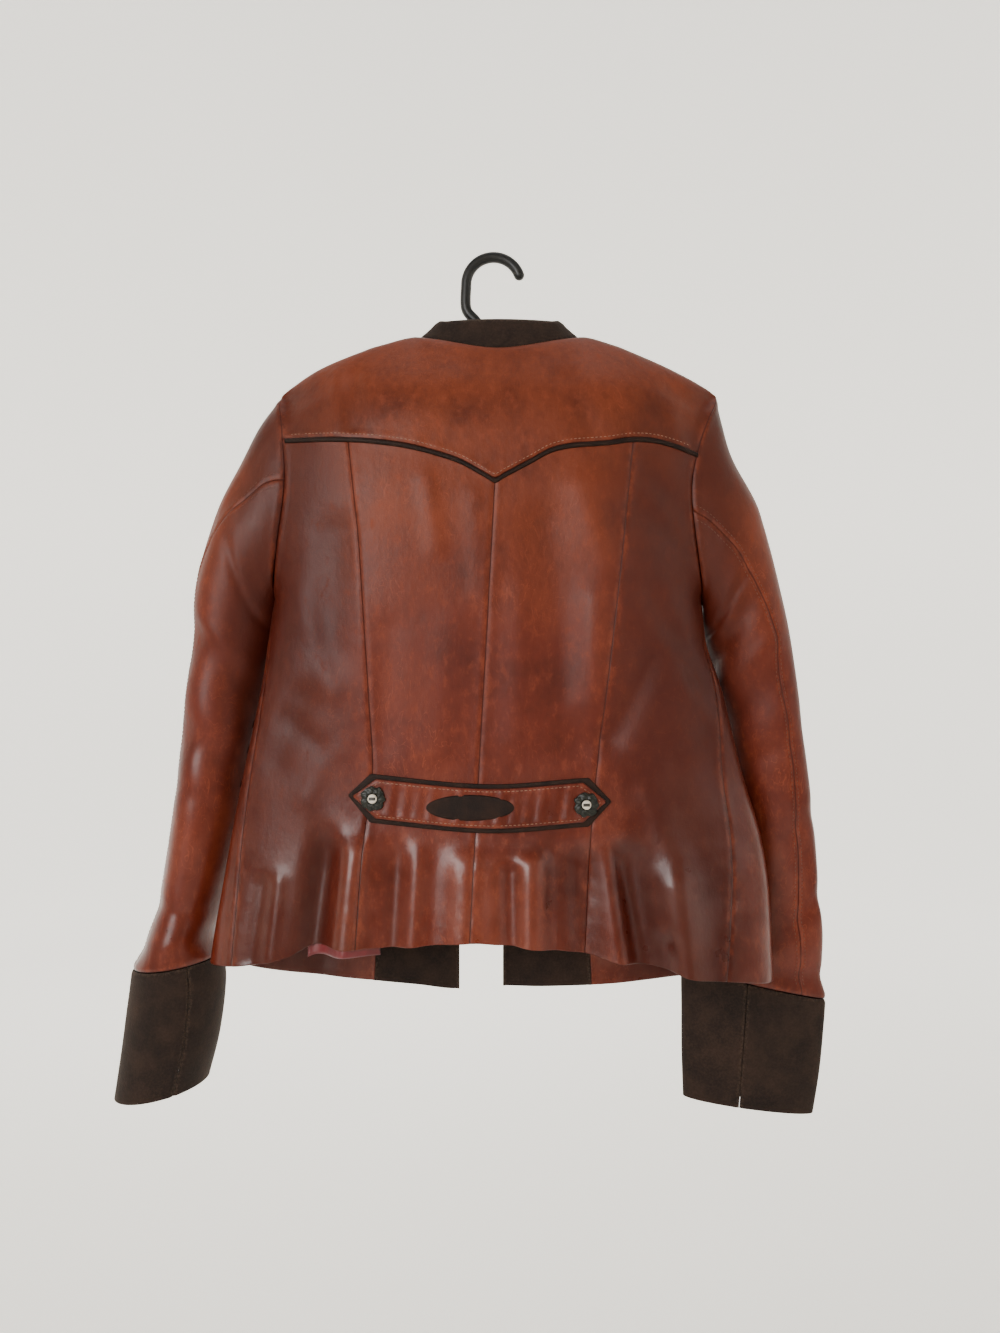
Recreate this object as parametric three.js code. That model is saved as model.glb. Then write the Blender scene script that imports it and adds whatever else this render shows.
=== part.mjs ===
// Worn leather jacket on a plain hanger, hung with its back towards -Y.
// Millimetres, +Z up. The origin is the seat inside the crown of the hook.
// Heights are given as "drop", the distance below the origin.
import * as THREE from 'three';

const LEATHER = 1.4;
const SUEDE = 1.8;
const LINING = 0.8;
const GAP = 0.3;

// Hanger: hook of round bar and two arms that follow the shoulders
const BAR = 9.4;
const HOOK_RADIUS = 24.4;
const HOOK_MID = -4;
const ARM_BAR = 10;

// Jacket heights
const SHOULDER_DROP = 124.5;
const UNDERARM_DROP = 300;
const ARMHOLE_BACK = 34;
const ARMHOLE_FRONT = 30;
const ARMHOLE_GAP = 0.8;
const RIDGE_Y = -8;
const RIDGE_ROUND = 85;

// Half belt on the back waist
const BELT_LEFT = -124.5;
const BELT_RIGHT = 94;
const BELT_HALF = 20.3;
const BELT_POINT = 19;
const BELT_EDGING = 3.6;
const BUTTON_RADIUS = 10.2;
const STUD_RADIUS = 3.9;
const BUTTONS = [[-103.7, 471], [73.3, 476]];
const PATCH = { x: -23, drop: 478.6, half: 36.5, tall: 10.8 };

const PIPING_WIDE = 4;
const FRONT_EDGE_LEFT = -35;
const FRONT_EDGE_RIGHT = 4.5;

const lerp = (a, b, k) => a + (b - a) * k;
const clamp01 = (k) => Math.min(1, Math.max(0, k));
const vec = (x, y, drop) => new THREE.Vector3(x, y, -drop);

function smooth(from, to, at) {
  const k = clamp01((at - from) / (to - from));
  return k * k * (3 - 2 * k);
}

// Smooth curve through [at, value] knots, straight beyond its ends
function curve(knots) {
  const last = knots.length - 1;
  const slope = knots.map((knot, i) => {
    const a = knots[Math.max(0, i - 1)];
    const b = knots[Math.min(last, i + 1)];
    return (b[1] - a[1]) / (b[0] - a[0]);
  });
  return (at) => {
    if (at <= knots[0][0]) {
      return knots[0][1] + slope[0] * (at - knots[0][0]);
    }
    if (at >= knots[last][0]) {
      return knots[last][1] + slope[last] * (at - knots[last][0]);
    }
    let i = 0;
    while (at > knots[i + 1][0]) {
      i += 1;
    }
    const span = knots[i + 1][0] - knots[i][0];
    const k = (at - knots[i][0]) / span;
    const k2 = k * k;
    const k3 = k2 * k;
    return (2 * k3 - 3 * k2 + 1) * knots[i][1] + (k3 - 2 * k2 + k) * span * slope[i]
      + (3 * k2 - 2 * k3) * knots[i + 1][1] + (k3 - k2) * span * slope[i + 1];
  };
}

// Three curves of one parameter, from [at, x, y, drop] rows
function path(rows) {
  const x = curve(rows.map((row) => [row[0], row[1]]));
  const y = curve(rows.map((row) => [row[0], row[2]]));
  const drop = curve(rows.map((row) => [row[0], row[3]]));
  return (at) => vec(x(at), y(at), drop(at));
}

// Torso: widest points left and right, depth of the sides, back and front, by drop
const edgeLeft = curve([
  [124.5, -192], [160, -186], [205, -183], [255, -190], [300, -197], [373, -206],
  [478, -226], [548, -238], [616, -249], [660, -251],
]);
const edgeRight = curve([
  [124.5, 193.5], [150, 181], [178, 171], [210, 166], [250, 170], [300, 179], [340, 183],
  [382, 196], [452, 212], [504, 227], [548, 234], [632, 238], [660, 238],
]);
const sideDepth = curve([[120, -8], [300, -8], [380, -18], [470, -24], [560, -27], [660, -26]]);
const backDepth = curve([
  [60, -36], [85, -42], [130, -58], [200, -66], [240, -68], [330, -66], [440, -62],
  [480, -63], [540, -69], [600, -76],
]);
const frontDepth = curve([
  [69, 6], [100, 14], [144, 24], [230, 36], [300, 36], [440, 24], [560, 17], [660, 15],
]);

// Top line of the back and the fronts: shoulders outside, neck inside
const NECK_LEFT = -71.5;
const NECK_RIGHT = 74;
const shoulderLine = curve([
  [-192, 124.5], [-184.4, 116], [-157.8, 98.2], [-115, 80.4], [-104, 77], [-71.5, 69.5],
  [74, 69.5], [103, 77], [112, 80.4], [152.5, 98.2], [185.3, 116], [193.5, 124.5],
]);
const neckBack = curve([[-71.5, 69.5], [-54, 75.5], [0, 86], [56, 75.5], [74, 69.5]]);
const neckBackY = curve([[-71.5, -8], [-54, -22], [0, -33], [56, -22], [74, -8]]);
const neckFrontLeft = curve([[-71.5, 69.5], [-67, 98], [-54, 128], [-35, 143.5]]);
const neckFrontLeftY = curve([[-71.5, -8], [-67, 4], [-54, 16], [-35, 22]]);
const neckFrontRight = curve([[4.5, 144], [46, 130], [68, 98], [74, 69.5]]);
const neckFrontRightY = curve([[4.5, 22], [46, 16], [68, 4], [74, -8]]);

// Lines across the back: yoke edge, hem, and the seams by drop
const yokeLine = curve([
  [-190, 165], [-178, 165.6], [-141, 167.7], [-115, 169.5], [-81.5, 174], [-56, 180],
  [-31, 188.4], [-10, 200.2], [-2.3, 204.2], [5, 200.2], [27, 188.4], [43.4, 179.3],
  [60, 175], [93, 171.8], [113.6, 168.6], [136, 169.2], [168, 177], [180, 181],
]);
const hemBack = curve([
  [-249, 616], [-210, 611], [-173.5, 602], [-152.7, 592.6], [-126, 593], [-81, 592.4],
  [-47, 589.4], [-23, 587.5], [2, 589], [35, 593], [72, 599], [101, 606], [135, 611],
  [162, 618], [208, 626], [238, 632],
]);
const hemFront = curve([
  [-249, 616], [-213, 630.6], [-152, 641], [-107, 646], [-71, 649.5], [-39, 653],
  [4.5, 650.4], [38, 651], [88, 649.5], [111, 647.7], [138, 644], [174, 639], [238, 632],
]);
const seamCenter = curve([[170, -1], [204.7, -2.3], [330, -9], [459, -16.4], [589, -23]]);
const princessLeft = curve([
  [160, -127], [247, -117.2], [306, -113], [400, -107], [451, -104.7], [497, -110.5], [593, -116.5],
]);
const princessRight = curve([
  [160, 115], [272, 103.3], [389, 90], [464, 80.8], [514, 76.7], [597, 72.5],
]);
const insetLeft = curve([[300, 0], [380, 5], [500, 12.6], [606, 24], [640, 26]]);
const insetRight = curve([[300, 0], [390, 9], [500, 30], [620, 47], [640, 49]]);
const beltMiddle = curve([[-124.5, 468.6], [-107, 470.7], [-9, 479.4], [76, 474], [94, 473.6]]);

// Outer edge of the suede band of each front, by drop
const bandLeft = curve([[70, -54], [150, -64], [400, -97], [650, -112]]);
const bandRight = curve([[70, 46], [150, 46], [400, 72], [650, 84.5]]);

// Largest folds of the back: x, drop to x, drop, height out (+) or in (-), half width
const BACK_FOLDS = [
  [-122, 500, -128, 596, 7, 11],
  [-140, 500, -153, 600, -8, 10],
  [-28, 515, -30, 592, 5, 10],
  [-2, 520, -4, 592, 4, 11],
  [28, 525, 26, 596, 6, 11],
  [68, 510, 74, 602, -7, 12],
  [104, 500, 124, 612, -9, 13],
  [150, 545, 158, 620, 6, 13],
  [72, 215, 92, 275, 4, 12],
  [84, 310, 76, 390, 5, 13],
  [40, 245, 66, 420, -4, 15],
  [-138, 250, -142, 345, -5, 14],
  [-168, 390, -190, 440, -5, 11],
  [124, 196, 158, 228, -4, 9],
  [116, 225, 160, 262, -4, 9],
  [94, 420, 128, 352, -5, 10],
  [178, 345, 186, 440, -5, 12],
];

// Sum of the soft ridges and troughs in a list at a point of a sheet
function foldHeight(list, a, b) {
  let sum = 0;
  for (const [a0, b0, a1, b1, height, wide] of list) {
    const da = a1 - a0;
    const db = b1 - b0;
    const k = clamp01(((a - a0) * da + (b - b0) * db) / (da * da + db * db));
    const ra = a - a0 - da * k;
    const rb = b - b0 - db * k;
    sum += height * Math.exp(-(ra * ra + rb * rb) / (2 * wide * wide));
  }
  return sum;
}

function girth(drop) {
  const left = edgeLeft(drop);
  const right = edgeRight(drop);
  return { mid: (left + right) / 2, half: (right - left) / 2 };
}

// How far round the armhole loop a height lies: 0 at its top and bottom, 1 half way
function armholeSwell(drop) {
  const half = (UNDERARM_DROP - SHOULDER_DROP) / 2;
  const c = (SHOULDER_DROP + half - drop) / half;
  return Math.abs(c) < 1 ? Math.sqrt(1 - c * c) : 0;
}

function fullness(s, drop) {
  const power = lerp(1, 0.5, smooth(240, 330, drop));
  return Math.pow(Math.max(0, 1 - s ** 4), power);
}

function roundedTop(s, below) {
  const k = clamp01(below / RIDGE_ROUND);
  const rise = Math.sqrt(Math.max(0, 1 - (1 - k) ** 2));
  return lerp(rise, 1, Math.min(1, Math.abs(s)) ** 8);
}

function topBack(x) {
  if (x > NECK_LEFT && x < NECK_RIGHT) {
    return { drop: neckBack(x), y: neckBackY(x) };
  }
  return { drop: shoulderLine(x), y: RIDGE_Y };
}

function topFront(x) {
  if (x > NECK_LEFT && x < (FRONT_EDGE_LEFT + FRONT_EDGE_RIGHT) / 2) {
    return { drop: neckFrontLeft(x), y: neckFrontLeftY(x) };
  }
  if (x >= (FRONT_EDGE_LEFT + FRONT_EDGE_RIGHT) / 2 && x < NECK_RIGHT) {
    return { drop: neckFrontRight(x), y: neckFrontRightY(x) };
  }
  return { drop: shoulderLine(x), y: RIDGE_Y };
}

// Point of the back at a share s of the half width (-1 left edge, 1 right edge)
function backAt(s, drop) {
  const { mid, half } = girth(drop);
  const x = mid + half * s;
  const rim = sideDepth(drop) - ARMHOLE_BACK * armholeSwell(drop);
  const full = lerp(rim, backDepth(drop), fullness(s, drop));
  const top = topBack(x);
  const calm = 1 - Math.exp(-(((drop - beltMiddle(x)) / 38) ** 6));
  const folds = foldHeight(BACK_FOLDS, x, drop) * lerp(1, calm, smooth(-165, -135, x) * (1 - smooth(105, 135, x)));
  const y = lerp(top.y, full, roundedTop(s, drop - top.drop)) - folds * (1 - s ** 8);
  return vec(x, y, drop);
}

function frontAt(s, drop) {
  const { mid, half } = girth(drop);
  const x = mid + half * s;
  const rim = sideDepth(drop) + ARMHOLE_FRONT * armholeSwell(drop);
  const full = lerp(rim, frontDepth(drop), fullness(s, drop));
  const top = topFront(x);
  return vec(x, lerp(top.y, full, roundedTop(s, drop - top.drop)), drop);
}

const shareAt = (x, drop) => (x - girth(drop).mid) / girth(drop).half;

// Sleeves: outer and inner lines by length (1 is the cuff seam), half depths, elbow seam
const SLEEVE_LEFT = {
  side: -1,
  outer: path([
    [0, -192, -8, 124.5], [0.06, -214.5, -8, 150.5], [0.12, -232, -8, 186],
    [0.19, -248, -8, 222], [0.26, -260, -6, 257], [0.33, -267.5, -4, 293],
    [0.41, -270, 0, 331], [0.5, -276.5, 2, 385], [0.6, -283, 2, 440], [0.7, -289, 2, 492],
    [0.8, -297, 4, 542], [0.9, -305, 6, 585], [0.96, -313, 6, 609], [1, -325, 6, 628],
    [1.05, -330, 6, 655], [1.12, -336, 6, 700], [1.2, -342.5, 6, 744],
  ]),
  inner: path([
    [0, -197, -8, 300], [0.06, -200, -6, 306], [0.12, -203, -3, 313], [0.19, -205.5, 0, 322],
    [0.26, -208, 4, 333], [0.33, -211, 7, 348], [0.41, -215, 10, 370], [0.5, -221, 12, 410],
    [0.6, -229, 14, 455], [0.7, -237, 16, 500], [0.8, -246, 16, 545], [0.9, -254, 15, 583],
    [0.96, -255, 12, 602], [1, -251, 10, 619], [1.05, -247, 10, 644], [1.12, -252, 10, 690],
    [1.2, -262, 10, 731],
  ]),
  back: curve([[0, 34], [0.1, 38], [0.26, 42], [0.41, 45], [0.6, 44], [0.8, 42], [1, 43], [1.2, 42]]),
  front: curve([[0, 30], [0.1, 36], [0.26, 42], [0.41, 46], [0.6, 46], [0.8, 44], [1, 44], [1.2, 42]]),
  elbow: curve([[0, 1.45], [0.12, 1.05], [0.26, 0.44], [0.33, 0.28], [0.5, 0.25], [1.2, 0.25]]),
  cuffSeam: curve([[1, 2.1], [1.2, 2.1]]),
};
const SLEEVE_RIGHT = {
  side: 1,
  outer: path([
    [0, 193.5, -8, 124.5], [0.06, 208.5, -9, 150.5], [0.12, 219, -10, 186],
    [0.19, 229.5, -10, 222], [0.26, 239.5, -10, 257], [0.33, 249, -8, 293],
    [0.41, 258, -6, 332], [0.5, 267, -4, 388], [0.6, 274, -2, 440], [0.7, 281, 0, 492],
    [0.8, 286.5, 4, 545], [0.9, 289, 8, 600], [0.96, 291.5, 10, 635], [1, 296, 12, 661],
    [1.06, 294.5, 13, 694], [1.13, 291.5, 15, 730], [1.2, 286, 16, 766],
  ]),
  inner: path([
    [0, 179, -8, 300], [0.06, 182, -6, 306], [0.12, 185, -3, 313], [0.19, 188, 1, 322],
    [0.26, 191, 6, 334], [0.33, 194, 11, 350], [0.41, 198, 18, 374], [0.5, 201, 26, 412],
    [0.6, 201, 34, 456], [0.7, 196, 40, 502], [0.8, 188, 42, 548], [0.9, 178, 42, 594],
    [0.96, 173, 40, 620], [1, 170, 36, 637], [1.06, 170, 35, 675], [1.13, 170, 34, 716],
    [1.2, 171, 32, 757],
  ]),
  back: curve([[0, 34], [0.1, 36], [0.26, 38], [0.41, 37], [0.5, 35], [0.6, 31], [0.7, 26],
    [0.8, 22], [0.9, 18], [1, 15], [1.2, 14]]),
  front: curve([[0, 30], [0.1, 36], [0.26, 42], [0.41, 46], [0.6, 42], [0.8, 30], [1, 16], [1.2, 15]]),
  elbow: curve([[0, 1.75], [0.2, 1.43], [0.35, 1.06], [0.5, 1], [0.8, 0.92], [1.2, 0.88]]),
  cuffSeam: curve([[1, 1.69], [1.2, 1.75]]),
};
const FOREARM_SEAM = -2.1;

// Largest folds of the sleeves: length and turn to length and turn, height, half widths
const FOLDS_LEFT = [
  [0.12, 0.9, 0.22, 0.5, -3, 0.05, 0.25],
  [0.42, 0.4, 0.46, 2.2, -4, 0.028, 0.3],
  [0.5, 0.2, 0.53, 1.8, 3, 0.025, 0.3],
  [0.56, 0.5, 0.6, 2.2, -4, 0.028, 0.3],
  [0.93, 0.2, 0.95, 1.6, 4, 0.03, 0.4],
];
const FOLDS_RIGHT = [
  [0.3, 1.6, 0.36, 2.6, -4, 0.03, 0.3],
  [0.46, 1.2, 0.5, 2.6, -4, 0.03, 0.3],
  [0.9, 0.3, 0.95, 1.3, 4, 0.04, 0.35],
];

function sleeveFold(list, t, turn) {
  let sum = 0;
  for (const [t0, a0, t1, a1, height, wideT, wideA] of list) {
    const along = clamp01((turn - a0) / (a1 - a0));
    const rt = (t - lerp(t0, t1, along)) / wideT;
    const ra = (turn - lerp(a0, a1, along)) / wideA;
    sum += height * Math.exp(-(rt * rt + ra * ra) / 2);
  }
  return sum;
}

// Point of a sleeve: turn 0 on the outer line, growing over the back to the inner line
function sleeveAt(sleeve, t, turn) {
  const outer = sleeve.outer(t);
  const inner = sleeve.inner(t);
  const c = Math.cos(turn);
  const s = Math.sin(turn);
  const point = outer.clone().add(inner).multiplyScalar(0.5);
  point.addScaledVector(outer.clone().sub(inner), c / 2);
  const drop = -point.z;
  const list = sleeve.side < 0 ? FOLDS_LEFT : FOLDS_RIGHT;
  const swell = sleeveFold(list, t, turn);
  const depth = s > 0 ? -sleeve.back(t) : -sleeve.front(t);
  point.y += depth * s - swell * s;
  point.x += sleeve.side * swell * c;
  const edge = sleeve.side < 0 ? edgeLeft(drop) : edgeRight(drop);
  const start = 1 - smooth(0, 0.2, t);
  const straight = lerp(sleeve.inner(0).x, sleeve.outer(0).x, (1 + c) / 2);
  point.x += start * (edge - straight) * (t < 0.2 ? 1 : 0);
  point.x += sleeve.side * ARMHOLE_GAP * (1 - smooth(0, 0.05, t));
  return point;
}

const material = (name, color, roughness) => {
  const made = new THREE.MeshStandardMaterial({ color, roughness });
  made.name = name;
  return made;
};
const leather = () => material('leather', 0x7d442f, 0.4);
const suede = () => material('suede', 0x33261f, 0.95);
const trim = () => material('trim_leather', 0x2e160e, 0.6);
const red = () => material('lining', 0x8c1020, 0.6);
const horn = () => material('horn', 0x1d2019, 0.4);
const bone = () => material('bone', 0xb9ab92, 0.4);
const plastic = () => material('plastic', 0x101012, 0.4);

// One closed mesh from corner positions and triangles
function solid(name, points, faces, made) {
  const geometry = new THREE.BufferGeometry();
  geometry.setAttribute('position', new THREE.Float32BufferAttribute(points.flatMap((p) => [p.x, p.y, p.z]), 3));
  geometry.setIndex(faces.flat());
  geometry.computeVertexNormals();
  const mesh = new THREE.Mesh(geometry, made);
  mesh.name = name;
  return mesh;
}

// A wall of cloth: at(i, j) is its outer face over cols by rows, heart a point on its inner side,
// trimInner may change the step to the inner face at a seam
function wall(name, cols, rows, at, thick, made, heart, trimInner = null) {
  const step = 0.04;
  const outer = [];
  const normals = [];
  for (let j = 0; j <= rows; j += 1) {
    for (let i = 0; i <= cols; i += 1) {
      const i0 = Math.max(0, i - step);
      const i1 = Math.min(cols, i + step);
      const j0 = Math.max(0, j - step);
      const j1 = Math.min(rows, j + step);
      const across = at(i1, j).sub(at(i0, j));
      const down = at(i, j1).sub(at(i, j0));
      outer.push(at(i, j));
      normals.push(down.cross(across).normalize());
    }
  }
  const middle = Math.floor(rows / 2) * (cols + 1) + Math.floor(cols / 2);
  const sign = normals[middle].dot(outer[middle].clone().sub(heart)) > 0 ? 1 : -1;
  const inner = outer.map((p, k) => {
    const offset = normals[k].clone().multiplyScalar(-sign * thick);
    if (trimInner) {
      trimInner(offset, k % (cols + 1), Math.floor(k / (cols + 1)));
    }
    return p.clone().add(offset);
  });
  const count = outer.length;
  const faces = [];
  const quad = (a, b, c, d) => {
    if (sign > 0) {
      faces.push([a, b, c], [a, c, d]);
    } else {
      faces.push([a, c, b], [a, d, c]);
    }
  };
  const id = (i, j) => j * (cols + 1) + i;
  for (let j = 0; j < rows; j += 1) {
    for (let i = 0; i < cols; i += 1) {
      const [a, b, c, d] = [id(i, j), id(i, j + 1), id(i + 1, j + 1), id(i + 1, j)];
      quad(a, b, c, d);
      quad(count + a, count + d, count + c, count + b);
    }
  }
  const rim = (a, b) => quad(a, b, count + b, count + a);
  for (let i = 0; i < cols; i += 1) {
    rim(id(i, 0), id(i + 1, 0));
    rim(id(i + 1, rows), id(i, rows));
  }
  for (let j = 0; j < rows; j += 1) {
    rim(id(0, j + 1), id(0, j));
    rim(id(cols, j), id(cols, j + 1));
  }
  return solid(name, outer.concat(inner), faces, made);
}

// Place in a list of stops, at a fractional index
function stop(list, at) {
  const i = Math.min(list.length - 2, Math.max(0, Math.floor(at)));
  return lerp(list[i], list[i + 1], at - i);
}

const YOKE_ROWS = [0, 0.02, 0.06, 0.13, 0.24, 0.4, 0.58, 0.78, 1];
const BACK_ROWS = [
  0, 0.05, 0.1, 0.155, 0.2, 0.24, 0.27, 0.29, 0.31, 0.335, 0.37, 0.42, 0.48, 0.54, 0.6, 0.66,
  0.72, 0.78, 0.84, 0.9, 0.95, 1,
];
const FRONT_TOP_ROWS = [0, 0.003, 0.012, 0.035, 0.062];
const FRONT_ROWS = FRONT_TOP_ROWS.concat(BACK_ROWS.map((v) => 0.09 + 0.91 * v));
const SLEEVE_ROWS = [
  0, 0.03, 0.06, 0.1, 0.14, 0.19, 0.25, 0.31, 0.37, 0.44, 0.51, 0.58, 0.65, 0.72, 0.79, 0.86,
  0.92, 0.96, 1,
];

const outlineLeft = (drop) => edgeLeft(drop) + (drop > UNDERARM_DROP ? insetLeft(drop) : 0);
const outlineRight = (drop) => edgeRight(drop) - (drop > UNDERARM_DROP ? insetRight(drop) : 0);
const TORSO_HEART = vec(0, -10, 350);

// Columns of the yoke stand on the columns of the four panels below it
function yokeStops() {
  const bounds = [edgeLeft(165), princessLeft(169), seamCenter(204), princessRight(169), edgeRight(178)];
  const columns = [9, 8, 8, 9];
  const stops = [];
  columns.forEach((count, panel) => {
    for (let i = panel === 0 ? 0 : 1; i <= count; i += 1) {
      const side = [-1, 0, 0, 1][panel];
      stops.push(column(bounds[panel], bounds[panel + 1], 170, i / count, side));
    }
  });
  return stops;
}

// The same columns along the top line, with one on each neck point
function snapped(stops) {
  const near = (x) => stops.reduce((best, value, i) => (Math.abs(value - x) < Math.abs(stops[best] - x) ? i : best), 0);
  const moved = stops.slice();
  moved[near(NECK_LEFT)] = NECK_LEFT;
  moved[near(NECK_RIGHT)] = NECK_RIGHT;
  return moved;
}

function backYoke() {
  const low = yokeStops();
  const high = snapped(low);
  const cols = low.length - 1;
  const at = (i, j) => {
    const v = stop(YOKE_ROWS, j);
    const foot = stop(low, i);
    const end = i <= 0 || i >= cols ? Math.sign(i - 1) : 0;
    const below = end || shareAt(foot, yokeLine(foot));
    const head = stop(high, i);
    const above = end || shareAt(head, topBack(head).drop);
    const s = lerp(above, below, v);
    let drop = 140;
    for (let turn = 0; turn < 12; turn += 1) {
      const { mid, half } = girth(drop);
      const x = mid + half * s;
      drop = lerp(topBack(x).drop, yokeLine(x) - GAP / 2, v);
    }
    const point = backAt(s, drop);
    point.y -= 0.45;
    return point;
  };
  return wall('back_yoke', cols, YOKE_ROWS.length - 1, at, LEATHER, leather(), vec(0, 0, 150));
}

// A panel below the yoke; a side panel has its columns closer together towards its side
function backPanel(name, leftX, rightX, cols, side = 0) {
  const at = (i, j) => {
    const v = stop(BACK_ROWS, j);
    let drop = lerp(170, 600, v);
    let x = 0;
    for (let turn = 0; turn < 8; turn += 1) {
      x = column(leftX(drop), rightX(drop), drop, i / cols, side);
      drop = lerp(yokeLine(x) + GAP / 2, hemBack(x), v);
    }
    return backAt(shareAt(x, drop), drop);
  };
  return wall(name, cols, BACK_ROWS.length - 1, at, LEATHER, leather(), TORSO_HEART);
}

// Place of a column between two lines, evenly or by the turn round the side
function column(from, to, drop, k, side) {
  if (side === 0) {
    return lerp(from, to, k);
  }
  const turn = (x) => Math.acos(Math.min(1, shareAt(x, drop) ** 2));
  const s = side * Math.sqrt(Math.max(0, Math.cos(lerp(turn(from), turn(to), k))));
  return lerp(girth(drop).mid + girth(drop).half * s, lerp(from, to, k), 0.45);
}

// Height of a front's row on its side edge, level with the rows of the back
function sideRow(side, outline, j) {
  const top = FRONT_TOP_ROWS.length;
  if (j <= top) {
    const low = yokeLine(outline(170)) + GAP / 2;
    return lerp(SHOULDER_DROP, low, stop(FRONT_ROWS, j) / 0.09);
  }
  let drop = 400;
  for (let turn = 0; turn < 8; turn += 1) {
    const x = outline(drop) - side * GAP;
    drop = lerp(yokeLine(x) + GAP / 2, hemBack(x), stop(BACK_ROWS, j - top));
  }
  return drop;
}

// A front runs from the side seam (on the back) round the side to its suede band
function frontPanel(name, side, bandX) {
  const cols = 12;
  const outline = side < 0 ? outlineLeft : outlineRight;
  const at = (i, j) => {
    const v = stop(FRONT_ROWS, j);
    const sideDrop = sideRow(side, outline, j);
    const sideX = outline(sideDrop);
    const lift = sideDrop - lerp(topFront(sideX).drop, hemBack(sideX), v);
    let drop = lerp(110, 630, v);
    let s = side;
    let onBack = false;
    for (let turn = 0; turn < 14; turn += 1) {
      const seam = Math.min(1, Math.abs(shareAt(outline(drop), drop)));
      const start = drop > UNDERARM_DROP ? -Math.acos(Math.min(1, seam * seam)) : 0;
      const band = shareAt(bandX(drop) + (side * GAP) / 2, drop);
      const angle = lerp(start, Math.acos(band * band), i / cols);
      onBack = angle < 0;
      s = side * Math.sqrt(Math.max(0, Math.cos(angle)));
      const x = girth(drop).mid + girth(drop).half * s;
      drop = lerp(topFront(x).drop, onBack ? hemBack(x) : hemFront(x), v) + lift * (1 - i / cols) ** 2;
    }
    const point = onBack ? backAt(s, drop) : frontAt(s, drop);
    point.y += onBack ? 0 : 0.45 * (1 - smooth(0, 60, drop - 70));
    return point;
  };
  return wall(name, cols, FRONT_ROWS.length - 1, at, LEATHER, leather(), TORSO_HEART);
}

function frontBand(name, leftX, rightX) {
  const cols = 3;
  const at = (i, j) => {
    const v = stop(FRONT_ROWS, j);
    let drop = lerp(140, 650, v);
    let x = 0;
    for (let turn = 0; turn < 12; turn += 1) {
      x = lerp(leftX(drop), rightX(drop), i / cols);
      drop = lerp(topFront(x).drop, hemFront(x), v);
    }
    return frontAt(shareAt(x, drop), drop);
  };
  return wall(name, cols, FRONT_ROWS.length - 1, at, SUEDE, suede(), TORSO_HEART);
}

function sleevePiece(name, sleeve, under) {
  const cols = under ? 10 : 12;
  const seam = 0.0035;
  const at = (i, j) => {
    const t = stop(SLEEVE_ROWS, j);
    const from = under ? sleeve.elbow(t) + seam : FOREARM_SEAM + seam;
    const to = under ? FOREARM_SEAM + 2 * Math.PI - seam : sleeve.elbow(t) - seam;
    return sleeveAt(sleeve, t, lerp(from, to, i / cols));
  };
  const heart = sleeve.outer(0.5).add(sleeve.inner(0.5)).multiplyScalar(0.5);
  const trimInner = (offset, i, j) => {
    if (j === 0 && offset.x * sleeve.side < 0) {
      offset.x = 0;
    }
  };
  return wall(name, cols, SLEEVE_ROWS.length - 1, at, LEATHER, leather(), heart, trimInner);
}

function cuff(name, sleeve) {
  const cols = 28;
  const rows = 5;
  const at = (i, j) => {
    const t = lerp(1.002, 1.2, j / rows);
    const from = sleeve.cuffSeam(t) + 0.004;
    return sleeveAt(sleeve, t, lerp(from, from + 2 * Math.PI - 0.008, i / cols));
  };
  const heart = sleeve.outer(1.1).add(sleeve.inner(1.1)).multiplyScalar(0.5);
  return wall(name, cols, rows, at, SUEDE, suede(), heart);
}

// Stand collar: rises inside the neck edge, leaning in
const COLLAR_STOPS = [
  -35, -42, -49, -56, -63, -68, -71.5, -66, -54, -40, -25, -8, 10, 27, 42, 56, 68, 74, 71, 66, 56,
  44, 30, 17, 4.5,
];
const COLLAR_BACK_FROM = 6;
const COLLAR_BACK_TO = 17;
const collarTop = path([
  [0, -34, 15, 119], [3, -47, 10, 102], [5, -53, 2, 78], [6, -54.5, -7, 58], [8, -44, -20, 58.5],
  [11.5, 0, -30, 60], [15, 46, -20, 58.5], [17, 55.5, -7, 57], [18.5, 55, 2, 80], [21, 38, 10, 104],
  [24, 5.5, 15, 120],
]);

function collarBase(i) {
  const x = stop(COLLAR_STOPS, i);
  const behind = i >= COLLAR_BACK_FROM && i <= COLLAR_BACK_TO;
  const top = behind ? topBack(x) : topFront(x);
  if (x <= NECK_LEFT || x >= NECK_RIGHT) {
    top.y = RIDGE_Y;
  }
  const point = vec(x, top.y, top.drop + 1.8);
  const inward = new THREE.Vector3(0 - x, -4 - top.y, 0).normalize();
  return point.addScaledVector(inward, behind ? 1.4 : 2.8);
}

function collar() {
  const cols = COLLAR_STOPS.length - 1;
  const at = (i, j) => collarBase(i).lerp(collarTop(i), j / 3);
  return wall('collar', cols, 3, at, SUEDE, suede(), vec(0, -5, 80));
}

function backNormal(x, drop) {
  const here = (a, b) => backAt(shareAt(a, b), b);
  const across = here(x + 2, drop).sub(here(x - 2, drop));
  const down = here(x, drop + 2).sub(here(x, drop - 2));
  return across.cross(down).normalize().multiplyScalar(-1);
}

// Point above the back panels, moved out from them
function onBack(x, drop, out) {
  return backAt(shareAt(x, drop), drop).addScaledVector(backNormal(x, drop), out);
}

function yokePiping() {
  const cols = 36;
  const at = (i, j) => {
    let x = lerp(-1, 1, i / cols) * 0.985;
    const drop = 170;
    x = girth(drop).mid + girth(drop).half * x;
    return onBack(x, yokeLine(x) + 0.4 + (PIPING_WIDE * j) / 2, 0.6 + 1.5);
  };
  return wall('yoke_piping', cols, 2, at, 1.5, trim(), vec(0, 0, 180));
}

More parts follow.
